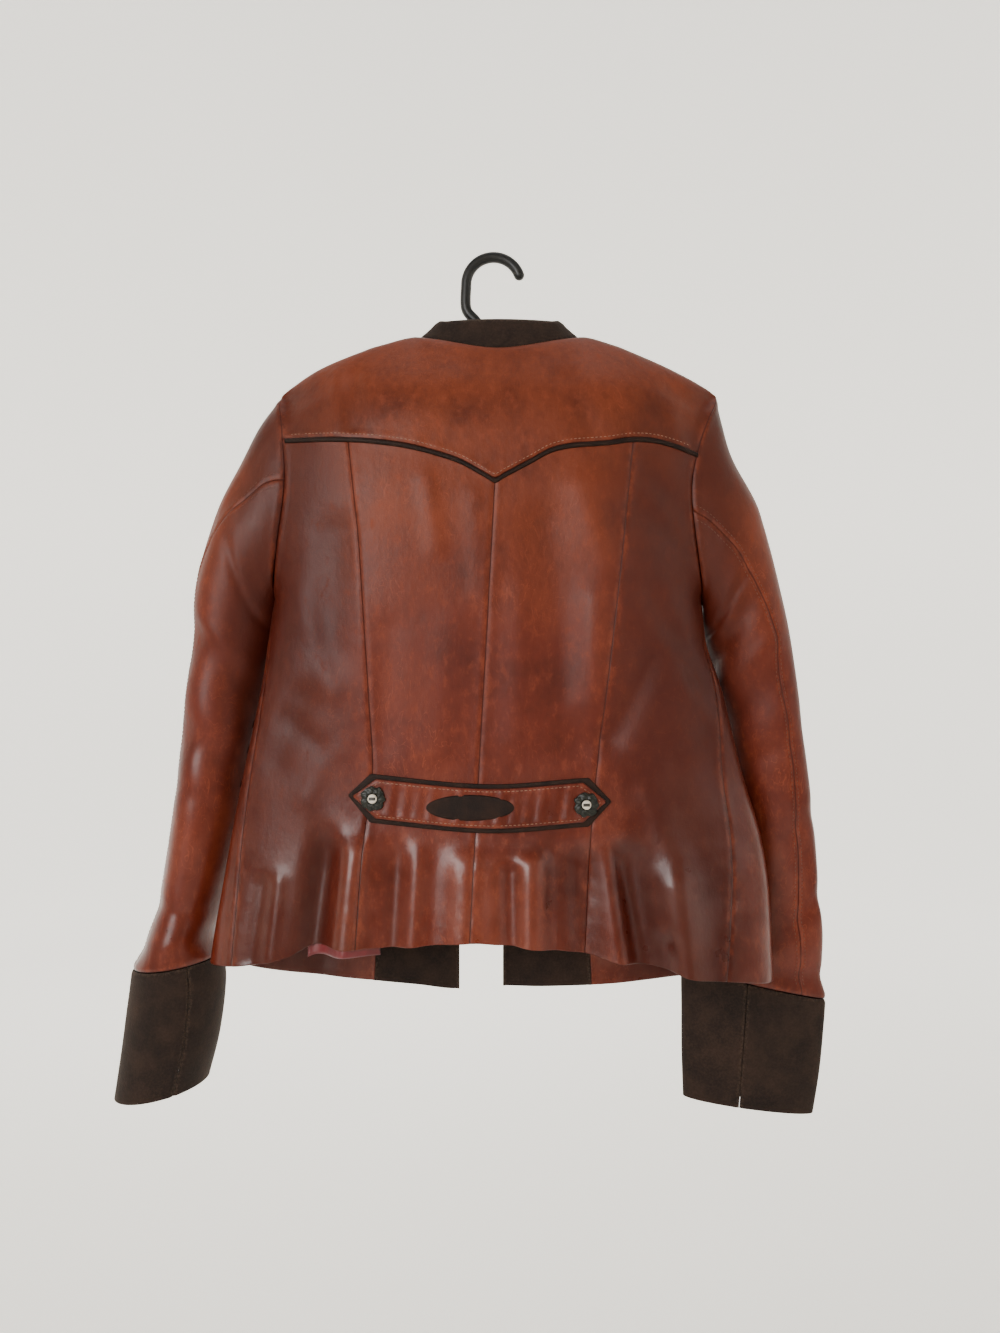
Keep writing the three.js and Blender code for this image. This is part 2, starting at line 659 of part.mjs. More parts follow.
// Half height of the pointed belt at x, drawn in by an inset
function beltHalf(x, inset) {
  const tip = Math.min(x - BELT_LEFT, BELT_RIGHT - x) - inset * 1.3;
  return Math.max(1.2, Math.min(BELT_HALF - inset, ((BELT_HALF - inset) * (tip + 1.2)) / BELT_POINT));
}

function beltLayer(name, inset, out, thick, made) {
  const cols = 26;
  const left = BELT_LEFT + inset * 1.3;
  const right = BELT_RIGHT - inset * 1.3;
  const at = (i, j) => {
    const k = i / cols;
    const x = k < 0.12 ? lerp(left, left + BELT_POINT, k / 0.12)
      : k > 0.88 ? lerp(right - BELT_POINT, right, (k - 0.88) / 0.12)
        : lerp(left + BELT_POINT, right - BELT_POINT, (k - 0.12) / 0.76);
    return onBack(x, beltMiddle(x) + beltHalf(x, inset) * (j / 2 - 1), out);
  };
  return wall(name, cols, 4, at, thick, made, vec(0, 0, 470));
}

function beltPatch() {
  const cols = 16;
  const at = (i, j) => {
    const across = -Math.cos((Math.PI * i) / cols);
    const x = PATCH.x + PATCH.half * across;
    const tall = Math.max(0.8, PATCH.tall * Math.sqrt(1 - across * across));
    return onBack(x, PATCH.drop + tall * (j - 1), 4.3);
  };
  return wall('belt_patch', cols, 2, at, 0.6, trim(), vec(0, 0, 470));
}

// Round piece standing on the belt: profile of [radius, height], rim(angle) scales the radius
function knob(name, x, drop, out, profile, rim, segments, made) {
  const axis = backNormal(x, drop);
  const foot = onBack(x, drop, out);
  const across = new THREE.Vector3(1, 0, 0);
  across.addScaledVector(axis, -across.dot(axis)).normalize();
  const up = axis.clone().cross(across);
  const points = [foot.clone()];
  for (const [radius, height] of profile) {
    for (let k = 0; k < segments; k += 1) {
      const angle = (2 * Math.PI * k) / segments;
      const r = radius * rim(angle);
      const point = foot.clone().addScaledVector(axis, height);
      point.addScaledVector(across, r * Math.cos(angle)).addScaledVector(up, r * Math.sin(angle));
      points.push(point);
    }
  }
  points.push(foot.clone().addScaledVector(axis, profile[profile.length - 1][1]));
  const faces = [];
  const id = (ring, k) => 1 + ring * segments + (k % segments);
  const last = points.length - 1;
  for (let k = 0; k < segments; k += 1) {
    faces.push([0, id(0, k + 1), id(0, k)]);
    faces.push([last, id(profile.length - 1, k), id(profile.length - 1, k + 1)]);
    for (let ring = 0; ring < profile.length - 1; ring += 1) {
      faces.push([id(ring, k), id(ring, k + 1), id(ring + 1, k + 1)]);
      faces.push([id(ring, k), id(ring + 1, k + 1), id(ring + 1, k)]);
    }
  }
  return solid(name, points, faces, made);
}

function button(name, [x, drop]) {
  const rim = (angle) => 1 + 0.05 * Math.cos(7 * angle) + 0.03 * Math.cos(11 * angle + 1);
  const profile = [[8.4, 0], [BUTTON_RADIUS * 0.94, 1], [BUTTON_RADIUS * 0.94, 2.2], [7.4, 3.6], [4.6, 3.4]];
  return knob(name, x, drop, 3.75, profile, rim, 28, horn());
}

function stud(name, [x, drop]) {
  const profile = [[STUD_RADIUS * 0.9, 0], [STUD_RADIUS, 0.6], [STUD_RADIUS, 1.3], [STUD_RADIUS * 0.8, 1.9]];
  return knob(name, x, drop, 7.5, profile, () => 1, 20, bone());
}

// Red lining where it hangs below the back hem, just inside the panels
function liningBack() {
  const at = (i, j) => {
    const x = lerp(-158, -96, i / 8);
    const drop = hemBack(x) + lerp(-40, 8.5, j / 4) * lerp(1, 0.62, (i / 8) ** 2);
    return onBack(x, drop, -LEATHER - 1.8);
  };
  return wall('lining_back', 8, 4, at, LINING, red(), TORSO_HEART);
}

// Round bar along a line of points, with domed ends
function bar(name, line, radius, made) {
  const segments = 10;
  const points = [];
  const rings = [];
  const tangents = line.map((p, i) => {
    const a = line[Math.max(0, i - 1)];
    const b = line[Math.min(line.length - 1, i + 1)];
    return b.clone().sub(a).normalize();
  });
  const ring = (centre, tangent, r) => {
    const aside = new THREE.Vector3(0, 1, 0);
    const up = tangent.clone().cross(aside).normalize();
    const ids = [];
    for (let k = 0; k < segments; k += 1) {
      const angle = (2 * Math.PI * k) / segments;
      const point = centre.clone().addScaledVector(aside, r * Math.cos(angle));
      ids.push(points.push(point.addScaledVector(up, r * Math.sin(angle))) - 1);
    }
    rings.push(ids);
  };
  const first = tangents[0];
  const final = tangents[line.length - 1];
  ring(line[0].clone().addScaledVector(first, -radius * 0.7), first, radius * 0.6);
  line.forEach((p, i) => ring(p, tangents[i], radius));
  ring(line[line.length - 1].clone().addScaledVector(final, radius * 0.7), final, radius * 0.6);
  const start = points.push(line[0].clone().addScaledVector(first, -radius)) - 1;
  const end = points.push(line[line.length - 1].clone().addScaledVector(final, radius)) - 1;
  const faces = [];
  for (let k = 0; k < segments; k += 1) {
    const next = (k + 1) % segments;
    faces.push([start, rings[0][next], rings[0][k]]);
    faces.push([end, rings[rings.length - 1][k], rings[rings.length - 1][next]]);
    for (let r = 0; r < rings.length - 1; r += 1) {
      faces.push([rings[r][k], rings[r][next], rings[r + 1][next]]);
      faces.push([rings[r][k], rings[r + 1][next], rings[r + 1][k]]);
    }
  }
  return solid(name, points, faces, made);
}

function hangerHook() {
  const middle = HOOK_RADIUS - BAR / 2;
  const line = [vec(-13, 0, 64), vec(-13.5, 0, 60.5), vec(-20, 0, 52), vec(HOOK_MID - HOOK_RADIUS, 0, 41)];
  for (let k = 0; k <= 14; k += 1) {
    const angle = lerp(Math.PI, 0.36, k / 14);
    line.push(vec(HOOK_MID + HOOK_RADIUS * Math.cos(angle), 0, middle - HOOK_RADIUS * Math.sin(angle)));
  }
  return bar('hanger_hook', line, BAR / 2, plastic());
}

function hangerArms() {
  const below = LEATHER + 1.2 + ARM_BAR / 2;
  const line = [];
  for (let k = 0; k <= 24; k += 1) {
    const x = lerp(-170, 170, k / 24);
    const out = Math.abs(x);
    const ridge = shoulderLine(x) + below * 1.12;
    const drop = lerp(lerp(74, 82.5, smooth(10, 50, out)), ridge, smooth(74, 100, out));
    const y = -15 * smooth(5, 55, out) + 6 * smooth(78, 104, out);
    line.push(vec(x, y, drop));
  }
  return bar('hanger_arms', line, ARM_BAR / 2, plastic());
}

function jacket() {
  const half = GAP / 2;
  const group = new THREE.Group();
  group.name = 'leather_jacket_on_hanger';
  group.add(
    backYoke(),
    backPanel('back_side_left', (d) => outlineLeft(d) + GAP, (d) => princessLeft(d) - half, 9, -1),
    backPanel('back_center_left', (d) => princessLeft(d) + half, (d) => seamCenter(d) - half, 8),
    backPanel('back_center_right', (d) => seamCenter(d) + half, (d) => princessRight(d) - half, 8),
    backPanel('back_side_right', (d) => princessRight(d) + half, (d) => outlineRight(d) - 3 * GAP, 9, 1),
    frontPanel('front_left', -1, bandLeft),
    frontPanel('front_right', 1, bandRight),
    frontBand('front_band_left', (d) => bandLeft(d) + GAP + 0.7 * (1 - smooth(120, 190, d)), () => FRONT_EDGE_LEFT),
    frontBand('front_band_right', () => FRONT_EDGE_RIGHT, (d) => bandRight(d) - half),
    collar(),
    sleevePiece('upper_sleeve_left', SLEEVE_LEFT, false),
    sleevePiece('under_sleeve_left', SLEEVE_LEFT, true),
    sleevePiece('upper_sleeve_right', SLEEVE_RIGHT, false),
    sleevePiece('under_sleeve_right', SLEEVE_RIGHT, true),
    cuff('cuff_left', SLEEVE_LEFT),
    cuff('cuff_right', SLEEVE_RIGHT),
    yokePiping(),
    beltLayer('belt_underlay', 0, 1.8, 1.3, trim()),
    beltLayer('belt_face', BELT_EDGING, 3.35, 1.2, leather()),
    beltPatch(),
    button('button_left', BUTTONS[0]),
    button('button_right', BUTTONS[1]),
    stud('button_stud_left', BUTTONS[0]),
    stud('button_stud_right', BUTTONS[1]),
    liningBack(),
    hangerHook(),
    hangerArms(),
  );
  return group;
}

export default jacket();
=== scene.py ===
"""Worn leather jacket on a plain hanger: the visual model on the frame of the solids."""

import logging
import math
from dataclasses import dataclass, field
from enum import Enum
from typing import Any, Callable, Sequence

import bpy
import numpy as np
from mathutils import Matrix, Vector


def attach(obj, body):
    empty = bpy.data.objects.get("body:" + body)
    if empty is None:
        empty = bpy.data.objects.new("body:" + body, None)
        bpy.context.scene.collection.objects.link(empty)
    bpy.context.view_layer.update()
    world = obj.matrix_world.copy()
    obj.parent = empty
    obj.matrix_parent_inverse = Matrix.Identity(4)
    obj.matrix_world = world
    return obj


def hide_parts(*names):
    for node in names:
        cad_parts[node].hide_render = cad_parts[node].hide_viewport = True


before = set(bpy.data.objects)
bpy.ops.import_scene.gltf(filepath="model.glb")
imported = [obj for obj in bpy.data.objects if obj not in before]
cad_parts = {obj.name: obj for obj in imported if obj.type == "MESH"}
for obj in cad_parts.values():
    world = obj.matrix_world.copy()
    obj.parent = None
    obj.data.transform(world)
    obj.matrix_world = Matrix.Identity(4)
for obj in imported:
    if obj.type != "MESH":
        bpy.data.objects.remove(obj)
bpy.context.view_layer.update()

Array = np.ndarray
LOG = logging.getLogger("jacket")
MM = 0.001


class Slot(Enum):
    """Material slots of the part."""

    LEATHER = "leather"
    SUEDE = "suede"
    TRIM = "trim_leather"
    LINING = "lining"
    HORN = "horn"
    BONE = "bone"
    PLASTIC = "plastic"


class Side(Enum):
    """Side of the jacket, as the sign of X."""

    LEFT = -1
    RIGHT = 1


# Small mathematics


class Curve:
    """Smooth curve through knots, straight beyond its ends."""

    def __init__(self, *knots: tuple[float, float]) -> None:
        """Keep the knots and their slopes.

        Args:
            knots: pairs of place and value, in order.
        """
        self.at = np.array([k[0] for k in knots], float)
        self.value = np.array([k[1] for k in knots], float)
        low = np.maximum(np.arange(len(knots)) - 1, 0)
        high = np.minimum(np.arange(len(knots)) + 1, len(knots) - 1)
        self.slope = (self.value[high] - self.value[low]) / (self.at[high] - self.at[low])

    def __call__(self, at: Any) -> Array:
        """Value at one or many places.

        Args:
            at: number or array.

        Returns:
            The values, in the shape of at.
        """
        at = np.asarray(at, float)
        i = np.clip(np.searchsorted(self.at, at) - 1, 0, len(self.at) - 2)
        span = self.at[i + 1] - self.at[i]
        k = (at - self.at[i]) / span
        inside = (
            (2 * k**3 - 3 * k**2 + 1) * self.value[i]
            + (k**3 - 2 * k**2 + k) * span * self.slope[i]
            + (3 * k**2 - 2 * k**3) * self.value[i + 1]
            + (k**3 - k**2) * span * self.slope[i + 1]
        )
        under = self.value[0] + self.slope[0] * (at - self.at[0])
        over = self.value[-1] + self.slope[-1] * (at - self.at[-1])
        return np.where(at < self.at[0], under, np.where(at > self.at[-1], over, inside))


class Path:
    """Curve in space from rows of place, x, y and drop."""

    def __init__(self, *rows: tuple[float, float, float, float]) -> None:
        """Keep one curve for each axis.

        Args:
            rows: place, x, y and drop, in millimetres.
        """
        self.axes = [Curve(*((row[0], row[axis]) for row in rows)) for axis in (1, 2, 3)]

    def __call__(self, at: Any) -> Array:
        """Points at one or many places.

        Args:
            at: number or array.

        Returns:
            Points with z up, in millimetres, along the last axis.
        """
        x, y, drop = (axis(at) for axis in self.axes)
        return np.stack([x, y, -drop], -1)


def lerp(a: Any, b: Any, k: Any) -> Any:
    """Value a share k of the way from a to b.

    Args:
        a: start.
        b: end.
        k: share.

    Returns:
        The value between.
    """
    return a + (b - a) * k


def smooth(low: float, high: float, at: Any) -> Array:
    """Soft step from 0 at low to 1 at high.

    Args:
        low: start of the step.
        high: end of the step.
        at: places.

    Returns:
        Shares from 0 to 1.
    """
    k = np.clip((np.asarray(at, float) - low) / (high - low), 0, 1)
    return k * k * (3 - 2 * k)


def folds(rows: Sequence[tuple[float, ...]], a: Array, b: Array) -> Array:
    """Height of soft ridges and troughs drawn as line pieces on a sheet.

    Args:
        rows: a, b to a, b, height out of the sheet, half width.
        a: first coordinate of the points.
        b: second coordinate of the points.

    Returns:
        Heights in millimetres.
    """
    total = np.zeros(np.broadcast(a, b).shape)
    for a0, b0, a1, b1, height, wide in rows:
        da, db = a1 - a0, b1 - b0
        k = np.clip(((a - a0) * da + (b - b0) * db) / (da * da + db * db), 0, 1)
        gap = (a - a0 - da * k) ** 2 + (b - b0 - db * k) ** 2
        total = total + height * np.exp(-gap / (2 * wide * wide))
    return total


def stations(length: float, step: float, near: Sequence[float] = (0, 0.8, 1.8, 3.4, 6)) -> Array:
    """Shares along a length, closer together at both ends.

    Args:
        length: length of the line, in millimetres.
        step: usual spacing.
        near: distances from each end that get a place of their own.

    Returns:
        Rising shares from 0 to 1.
    """
    ends = np.array(near) / length
    inner = np.linspace(ends[-1], 1 - ends[-1], max(3, int(length / step)))
    return np.concatenate([ends[:-1], inner, 1 - ends[:-1][::-1]])


def unit(v: Array) -> Array:
    """Vectors of length one.

    Args:
        v: vectors along the last axis.

    Returns:
        The same directions.
    """
    return v / np.maximum(np.linalg.norm(v, axis=-1, keepdims=True), 1e-9)


def grid_normals(points: Array, heart: Array) -> Array:
    """Outward directions of a grid of points.

    Args:
        points: rows by columns by 3.
        heart: a point on the inner side.

    Returns:
        Unit vectors of the same shape.
    """
    across = np.gradient(points, axis=1)
    down = np.gradient(points, axis=0)
    normals = unit(np.cross(down, across))
    mid = (points.shape[0] // 2, points.shape[1] // 2)
    return normals * (1 if np.dot(normals[mid], points[mid] - heart) > 0 else -1)


def walk(points: Array, axis: int) -> Array:
    """Distance along the grid lines of one axis.

    Args:
        points: rows by columns by 3.
        axis: 0 down the columns, 1 along the rows.

    Returns:
        Distances from the first place.
    """
    steps = np.linalg.norm(np.diff(points, axis=axis), axis=-1)
    total = np.cumsum(steps, axis=axis)
    zero = np.zeros_like(np.take(total, [0], axis=axis))
    return np.concatenate([zero, total], axis=axis)


def ripple(a: Array, seed: float) -> Array:
    """Uneven wave along a line, from about -1 to 1.

    Args:
        a: distance in millimetres.
        seed: shifts the wave.

    Returns:
        Heights.
    """
    return (
        0.5 * np.sin(a / 1.9 + seed)
        + 0.35 * np.sin(a / 3.1 + 2.3 * seed + 0.8 * np.sin(a / 17))
        + 0.3 * np.sin(a / 5.3 + 4.1 * seed)
    )


# Shader graph


class Value:
    """A shader socket that takes part in Python arithmetic."""

    def __init__(self, graph: "Graph", socket: Any) -> None:
        """Wrap a socket.

        Args:
            graph: the graph that it belongs to.
            socket: an output socket.
        """
        self.graph = graph
        self.socket = socket

    def _math(self, operation: str, a: Any, b: Any) -> "Value":
        """Add a Math node.

        Args:
            operation: what the node does.
            a: first value.
            b: second value.

        Returns:
            The result.
        """
        return self.graph.node("ShaderNodeMath", {"operation": operation}, values={0: a, 1: b})

    def __add__(self, other: Any) -> "Value":
        """Sum with another value.

        Args:
            other: number or Value.

        Returns:
            The result.
        """
        return self._math("ADD", self, other)

    def __sub__(self, other: Any) -> "Value":
        """Difference from another value.

        Args:
            other: number or Value.

        Returns:
            The result.
        """
        return self._math("SUBTRACT", self, other)

    def __mul__(self, other: Any) -> "Value":
        """Product with another value.

        Args:
            other: number or Value.

        Returns:
            The result.
        """
        return self._math("MULTIPLY", self, other)

    def __truediv__(self, other: Any) -> "Value":
        """Quotient by another value.

        Args:
            other: number or Value.

        Returns:
            The result.
        """
        return self._math("DIVIDE", self, other)

    def __pow__(self, other: Any) -> "Value":
        """Power of this value.

        Args:
            other: number or Value.

        Returns:
            The result.
        """
        return self._math("POWER", self, other)

    def __rsub__(self, other: Any) -> "Value":
        """Another value less this one.

        Args:
            other: number or Value.

        Returns:
            The result.
        """
        return self._math("SUBTRACT", other, self)

    def __rtruediv__(self, other: Any) -> "Value":
        """Another value divided by this one.

        Args:
            other: number or Value.

        Returns:
            The result.
        """
        return self._math("DIVIDE", other, self)

    __radd__ = __add__
    __rmul__ = __mul__

    def step(self, low: float, high: float) -> "Value":
        """Soft step of this value.

        Args:
            low: where the step is 0.
            high: where it is 1.

        Returns:
            A value from 0 to 1.
        """
        return self.graph.node(
            "ShaderNodeMapRange",
            {"interpolation_type": "SMOOTHSTEP"},
            values={"Value": self, "From Min": low, "From Max": high},
        )


class Graph:
    """Node tree of one material, built from Python expressions."""

    def __init__(self, name: str) -> None:
        """Make an empty material.

        Args:
            name: name of the material.
        """
        self.material = bpy.data.materials.new(name)
        self.material.use_nodes = True
        self.tree = self.material.node_tree
        self.tree.nodes.clear()

    def node(
        self,
        kind: str,
        settings: dict[str, Any] | None = None,
        values: dict[Any, Any] | None = None,
        out: Any = 0,
    ) -> Value:
        """Add a node.

        Args:
            kind: type name of the node.
            settings: properties, set before the sockets.
            values: socket name or number to a value, colour or Value.
            out: output socket wanted.

        Returns:
            The output as a Value.
        """
        made = self.tree.nodes.new(kind)
        for key, value in (settings or {}).items():
            setattr(made, key, value)
        for key, value in (values or {}).items():
            if isinstance(value, Value):
                self.tree.links.new(value.socket, made.inputs[key])
            else:
                made.inputs[key].default_value = value
        return Value(self, made.outputs[out] if len(made.outputs) else None)

    def mix(self, a: Any, b: Any, factor: Any) -> Value:
        """Mix two colours.

        Args:
            a: colour at factor 0.
            b: colour at factor 1.
            factor: share of b.

        Returns:
            The mixed colour.
        """
        rgba = [c if isinstance(c, Value) else (*c, 1.0) for c in (a, b)]
        return self.node(
            "ShaderNodeMix", {"data_type": "RGBA"}, {0: factor, 6: rgba[0], 7: rgba[1]}, out=2
        )

    def coords(self, stretch: tuple[float, float, float] = (1, 1, 1)) -> Value:
        """Object coordinates in metres, stretched along the axes.

        Args:
            stretch: factor for each axis.

        Returns:
            A vector.
        """
        place = self.node("ShaderNodeTexCoord", out="Object")
        return self.node(
            "ShaderNodeVectorMath", {"operation": "MULTIPLY"}, values={0: place, 1: stretch}
        )

    def noise(self, scale: float, detail: float = 3, rough: float = 0.55, twist: float = 0,
              stretch: tuple[float, float, float] = (1, 1, 1)) -> Value:
        """Noise over the surface.

        Args:
            scale: features per metre.
            detail: octaves.
            rough: strength of the finer octaves.
            twist: distortion.
            stretch: factor for each axis.

        Returns:
            A value about 0.5.
        """
        return self.node(
            "ShaderNodeTexNoise",
            values={"Vector": self.coords(stretch), "Scale": scale, "Detail": detail,
                    "Roughness": rough, "Distortion": twist},
        )

    def attribute(self, name: str) -> Value:
        """A number kept on the mesh.

        Args:
            name: name of the attribute.

        Returns:
            The value.
        """
        return self.node("ShaderNodeAttribute", {"attribute_name": name}, out="Fac")

    def bump(self, height: Value, strength: float, distance: float, normal: Value | None = None) -> Value:
        """Turn a height into a normal.

        Args:
            height: the height.
            strength: share of the effect.
            distance: height in metres of a value of 1.
            normal: a normal to add to.

        Returns:
            The normal.
        """
        values: dict[Any, Any] = {"Height": height, "Strength": strength, "Distance": distance}
        if normal is not None:
            values["Normal"] = normal
        return self.node("ShaderNodeBump", values=values)

    def surface(self, values: dict[str, Any]) -> bpy.types.Material:
        """Finish the material with one principled shader.

        Args:
            values: sockets of the shader.

        Returns:
            The material.
        """
        shader = self.node("ShaderNodeBsdfPrincipled", values=values, out="BSDF")
        self.node("ShaderNodeOutputMaterial", values={"Surface": shader})
        return self.material


@dataclass(frozen=True)
class LeatherFinish:
    """Glossy worn leather with rubbed edges, scuffs and darker patches, plus painted shade on the jacket's
    flanks and in the fold troughs.
    """

    name: str = "worn_leather"
    dark: tuple[float, float, float] = (0.030, 0.0030, 0.0011)
    mid: tuple[float, float, float] = (0.088, 0.0115, 0.0045)
    light: tuple[float, float, float] = (0.190, 0.036, 0.0135)
    tan: tuple[float, float, float] = (0.122, 0.0225, 0.0058)
    grain: float = 1300.0
    gloss: float = 0.31

    def build(self) -> bpy.types.Material:
        """Make the material.

        Returns:
            The material.
        """
        g = Graph(self.name)
        patches = g.noise(7, 2, 0.6)
        clouds = g.noise(26, 3, 0.62)
        scuffs = g.noise(120, 3, 0.72, 0, (1, 1, 0.6))
        rim = g.attribute("rim")
        fold = g.attribute("fold")
        place_x = g.node("ShaderNodeSeparateXYZ", values={0: g.coords()}, out="X")
        high = g.node("ShaderNodeSeparateXYZ", values={0: g.coords()}, out="Z") + (patches - 0.5) * 0.3
        tone = patches * 0.6 + clouds * 0.4
        mid = g.mix(self.mid, self.tan, high.step(-0.42, -0.12) * 0.85)
        color = g.mix(self.dark, mid, tone.step(0.2, 0.5))
        color = g.mix(color, self.light, tone.step(0.48, 0.74) * 0.5)
        rubbed = fold.step(1.0, 7.0) * 0.3 + scuffs.step(0.5, 0.74) * 0.36
        color = g.mix(color, self.light, rubbed)
        lines = g.noise(30, 2, 0.6, 1.6, (2.2, 2.2, 1)) - 0.5
        color = g.mix(color, self.light, (lines * lines).step(0.00012, 0.0) * patches.step(0.4, 0.6) * 0.5)
        # painted shade: the jacket's flanks below the shoulders are darkened where they turn away from the
        # light beside the sleeves
        across = g.node("ShaderNodeMath", {"operation": "ABSOLUTE"}, {0: place_x + 0.012})
        painted_flank_shade = across.step(0.08, 0.15) * across.step(0.245, 0.2) * high.step(-0.1, -0.2)
        color = g.mix(color, self.dark, painted_flank_shade * 0.7)
        # painted shade: darker in the troughs of the folds
        color = g.mix(color, self.dark, fold.step(-1.0, -8.0) * 0.5)
        worn = rim.step(7, 1.8) * scuffs.step(0.4, 0.66) * 0.3
        color = g.mix(color, self.light, worn)
        color = g.mix(color, self.dark, rim.step(1.2, 0.3) * 0.8)
        stains = clouds.step(0.62, 0.5) * scuffs.step(0.5, 0.38) * 0.15
        color = g.mix(color, self.dark, stains)
        pores = g.noise(self.grain, 1, 0.5)
        creases = g.noise(170, 2, 0.6, 0, (1, 1, 0.7))
        normal = g.bump(creases, 0.3, 0.0009)
        normal = g.bump(pores, 0.25, 0.0003, normal)
        rough = self.gloss + high.step(-0.52, -0.4) * 0.16 + (clouds - 0.5) * 0.2
        rough = rough + scuffs.step(0.55, 0.75) * 0.14
        polish = clouds.step(0.35, 0.65) * high.step(-0.42, -0.5) * 0.26 + fold.step(1, 6) * 0.12
        return g.surface({
            "Base Color": color, "Roughness": rough, "Normal": normal,
            "Coat Weight": polish, "Coat Roughness": 0.22, "Specular IOR Level": 0.22,
        })


@dataclass(frozen=True)
class SuedeFinish:
    """Dark napped suede, paler where it is rubbed."""

    name: str = "dark_suede"
    dark: tuple[float, float, float] = (0.0065, 0.0034, 0.0024)
    mid: tuple[float, float, float] = (0.027, 0.0145, 0.0100)

    def build(self) -> bpy.types.Material:
        """Make the material.

        Returns:
            The material.
        """
        g = Graph(self.name)
        nap = g.noise(520, 3, 0.7)
        brushed = g.noise(34, 3, 0.65)
        rim = g.attribute("rim")
        color = g.mix(self.dark, self.mid, brushed.step(0.3, 0.72) * 0.6 + nap.step(0.35, 0.7) * 0.4)
        color = g.mix(color, (0.055, 0.034, 0.023), rim.step(4, 0.8) * nap.step(0.4, 0.7) * 0.6)
        normal = g.bump(nap, 0.6, 0.0005)
        return g.surface({
            "Base Color": color, "Roughness": 0.82 + brushed * 0.15, "Normal": normal,
            "Specular IOR Level": 0.2, "Sheen Weight": 0.08, "Sheen Roughness": 0.5,
            "Sheen Tint": (0.7, 0.56, 0.46, 1.0),
        })


@dataclass(frozen=True)
class PlainFinish:
    """A finish of two tones with a fine bump, for trim and small pieces."""

    name: str
    dark: tuple[float, float, float]
    mid: tuple[float, float, float]
    rough: float = 0.45
    scale: float = 60.0
    bump: float = 0.0003
    sheen: float = 0.0
    shine: float = 0.5

    def build(self) -> bpy.types.Material:
        """Make the material.

        Returns:
            The material.
        """
        g = Graph(self.name)
        tone = g.noise(self.scale, 4, 0.6, 0.5)
        fine = g.noise(self.scale * 12, 4, 0.6)
        color = g.mix(self.dark, self.mid, tone.step(0.3, 0.7) * 0.8 + fine * 0.2)
        return g.surface({
            "Base Color": color, "Roughness": self.rough + (tone - 0.5) * 0.2,
            "Normal": g.bump(fine, 0.5, self.bump), "Sheen Weight": self.sheen,
            "Specular IOR Level": self.shine,
        })


@dataclass(frozen=True)
class CarvedFinish:
    """Carved pieces whose cuts are painted darker than their tops, as painted shade in the cuts and the slot.
    """

    name: str
    low: tuple[float, float, float]
    high: tuple[float, float, float]
    rough: float = 0.35
    shine: float = 0.5

    def build(self) -> bpy.types.Material:
        """Make the material.

        Returns:
            The material.
        """
        g = Graph(self.name)
        carve = g.attribute("carve")
        grain = g.noise(420, 4, 0.6, 0.4)
        # painted shade: the cuts, the dished middle and the slot darker than the raised tops
        color = g.mix(self.low, self.high, carve.step(0.1, 0.9) * (grain * 0.5 + 0.7))
        return g.surface({
            "Base Color": color, "Roughness": self.rough + (grain - 0.5) * 0.2,
            "Normal": g.bump(grain, 0.3, 0.0002), "Specular IOR Level": self.shine,
        })


# Mesh pieces


@dataclass
class Piece:
    """One visible piece and what it stands for."""

    name: str
    slot: Slot
    material: bpy.types.Material
    node: str | None = None

    def place(self, points: Array, faces: Any, facts: dict[str, Array] | None = None) -> bpy.types.Object:
        """Make the object and enter it in the frame.

        Args:
            points: corners in millimetres.
            faces: corner numbers of each face.
            facts: numbers kept on the corners.

        Returns:
            The object.
        """
        mesh = bpy.data.meshes.new(self.name)
        mesh.from_pydata((points * MM).tolist(), [], [list(map(int, f)) for f in faces])
        mesh.update()
        mesh.polygons.foreach_set("use_smooth", [True] * len(mesh.polygons))
        for key, values in (facts or {}).items():
            layer = mesh.attributes.new(key, "FLOAT", "POINT")
            layer.data.foreach_set("value", np.asarray(values, np.float32))
        mesh.materials.append(self.material)
        made = bpy.data.objects.new(self.name, mesh)
        bpy.context.scene.collection.objects.link(made)
        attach(made, "root")
        if self.node:
            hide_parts(self.node)
        LOG.info("%s: %d faces", self.name, len(mesh.polygons))
        return made


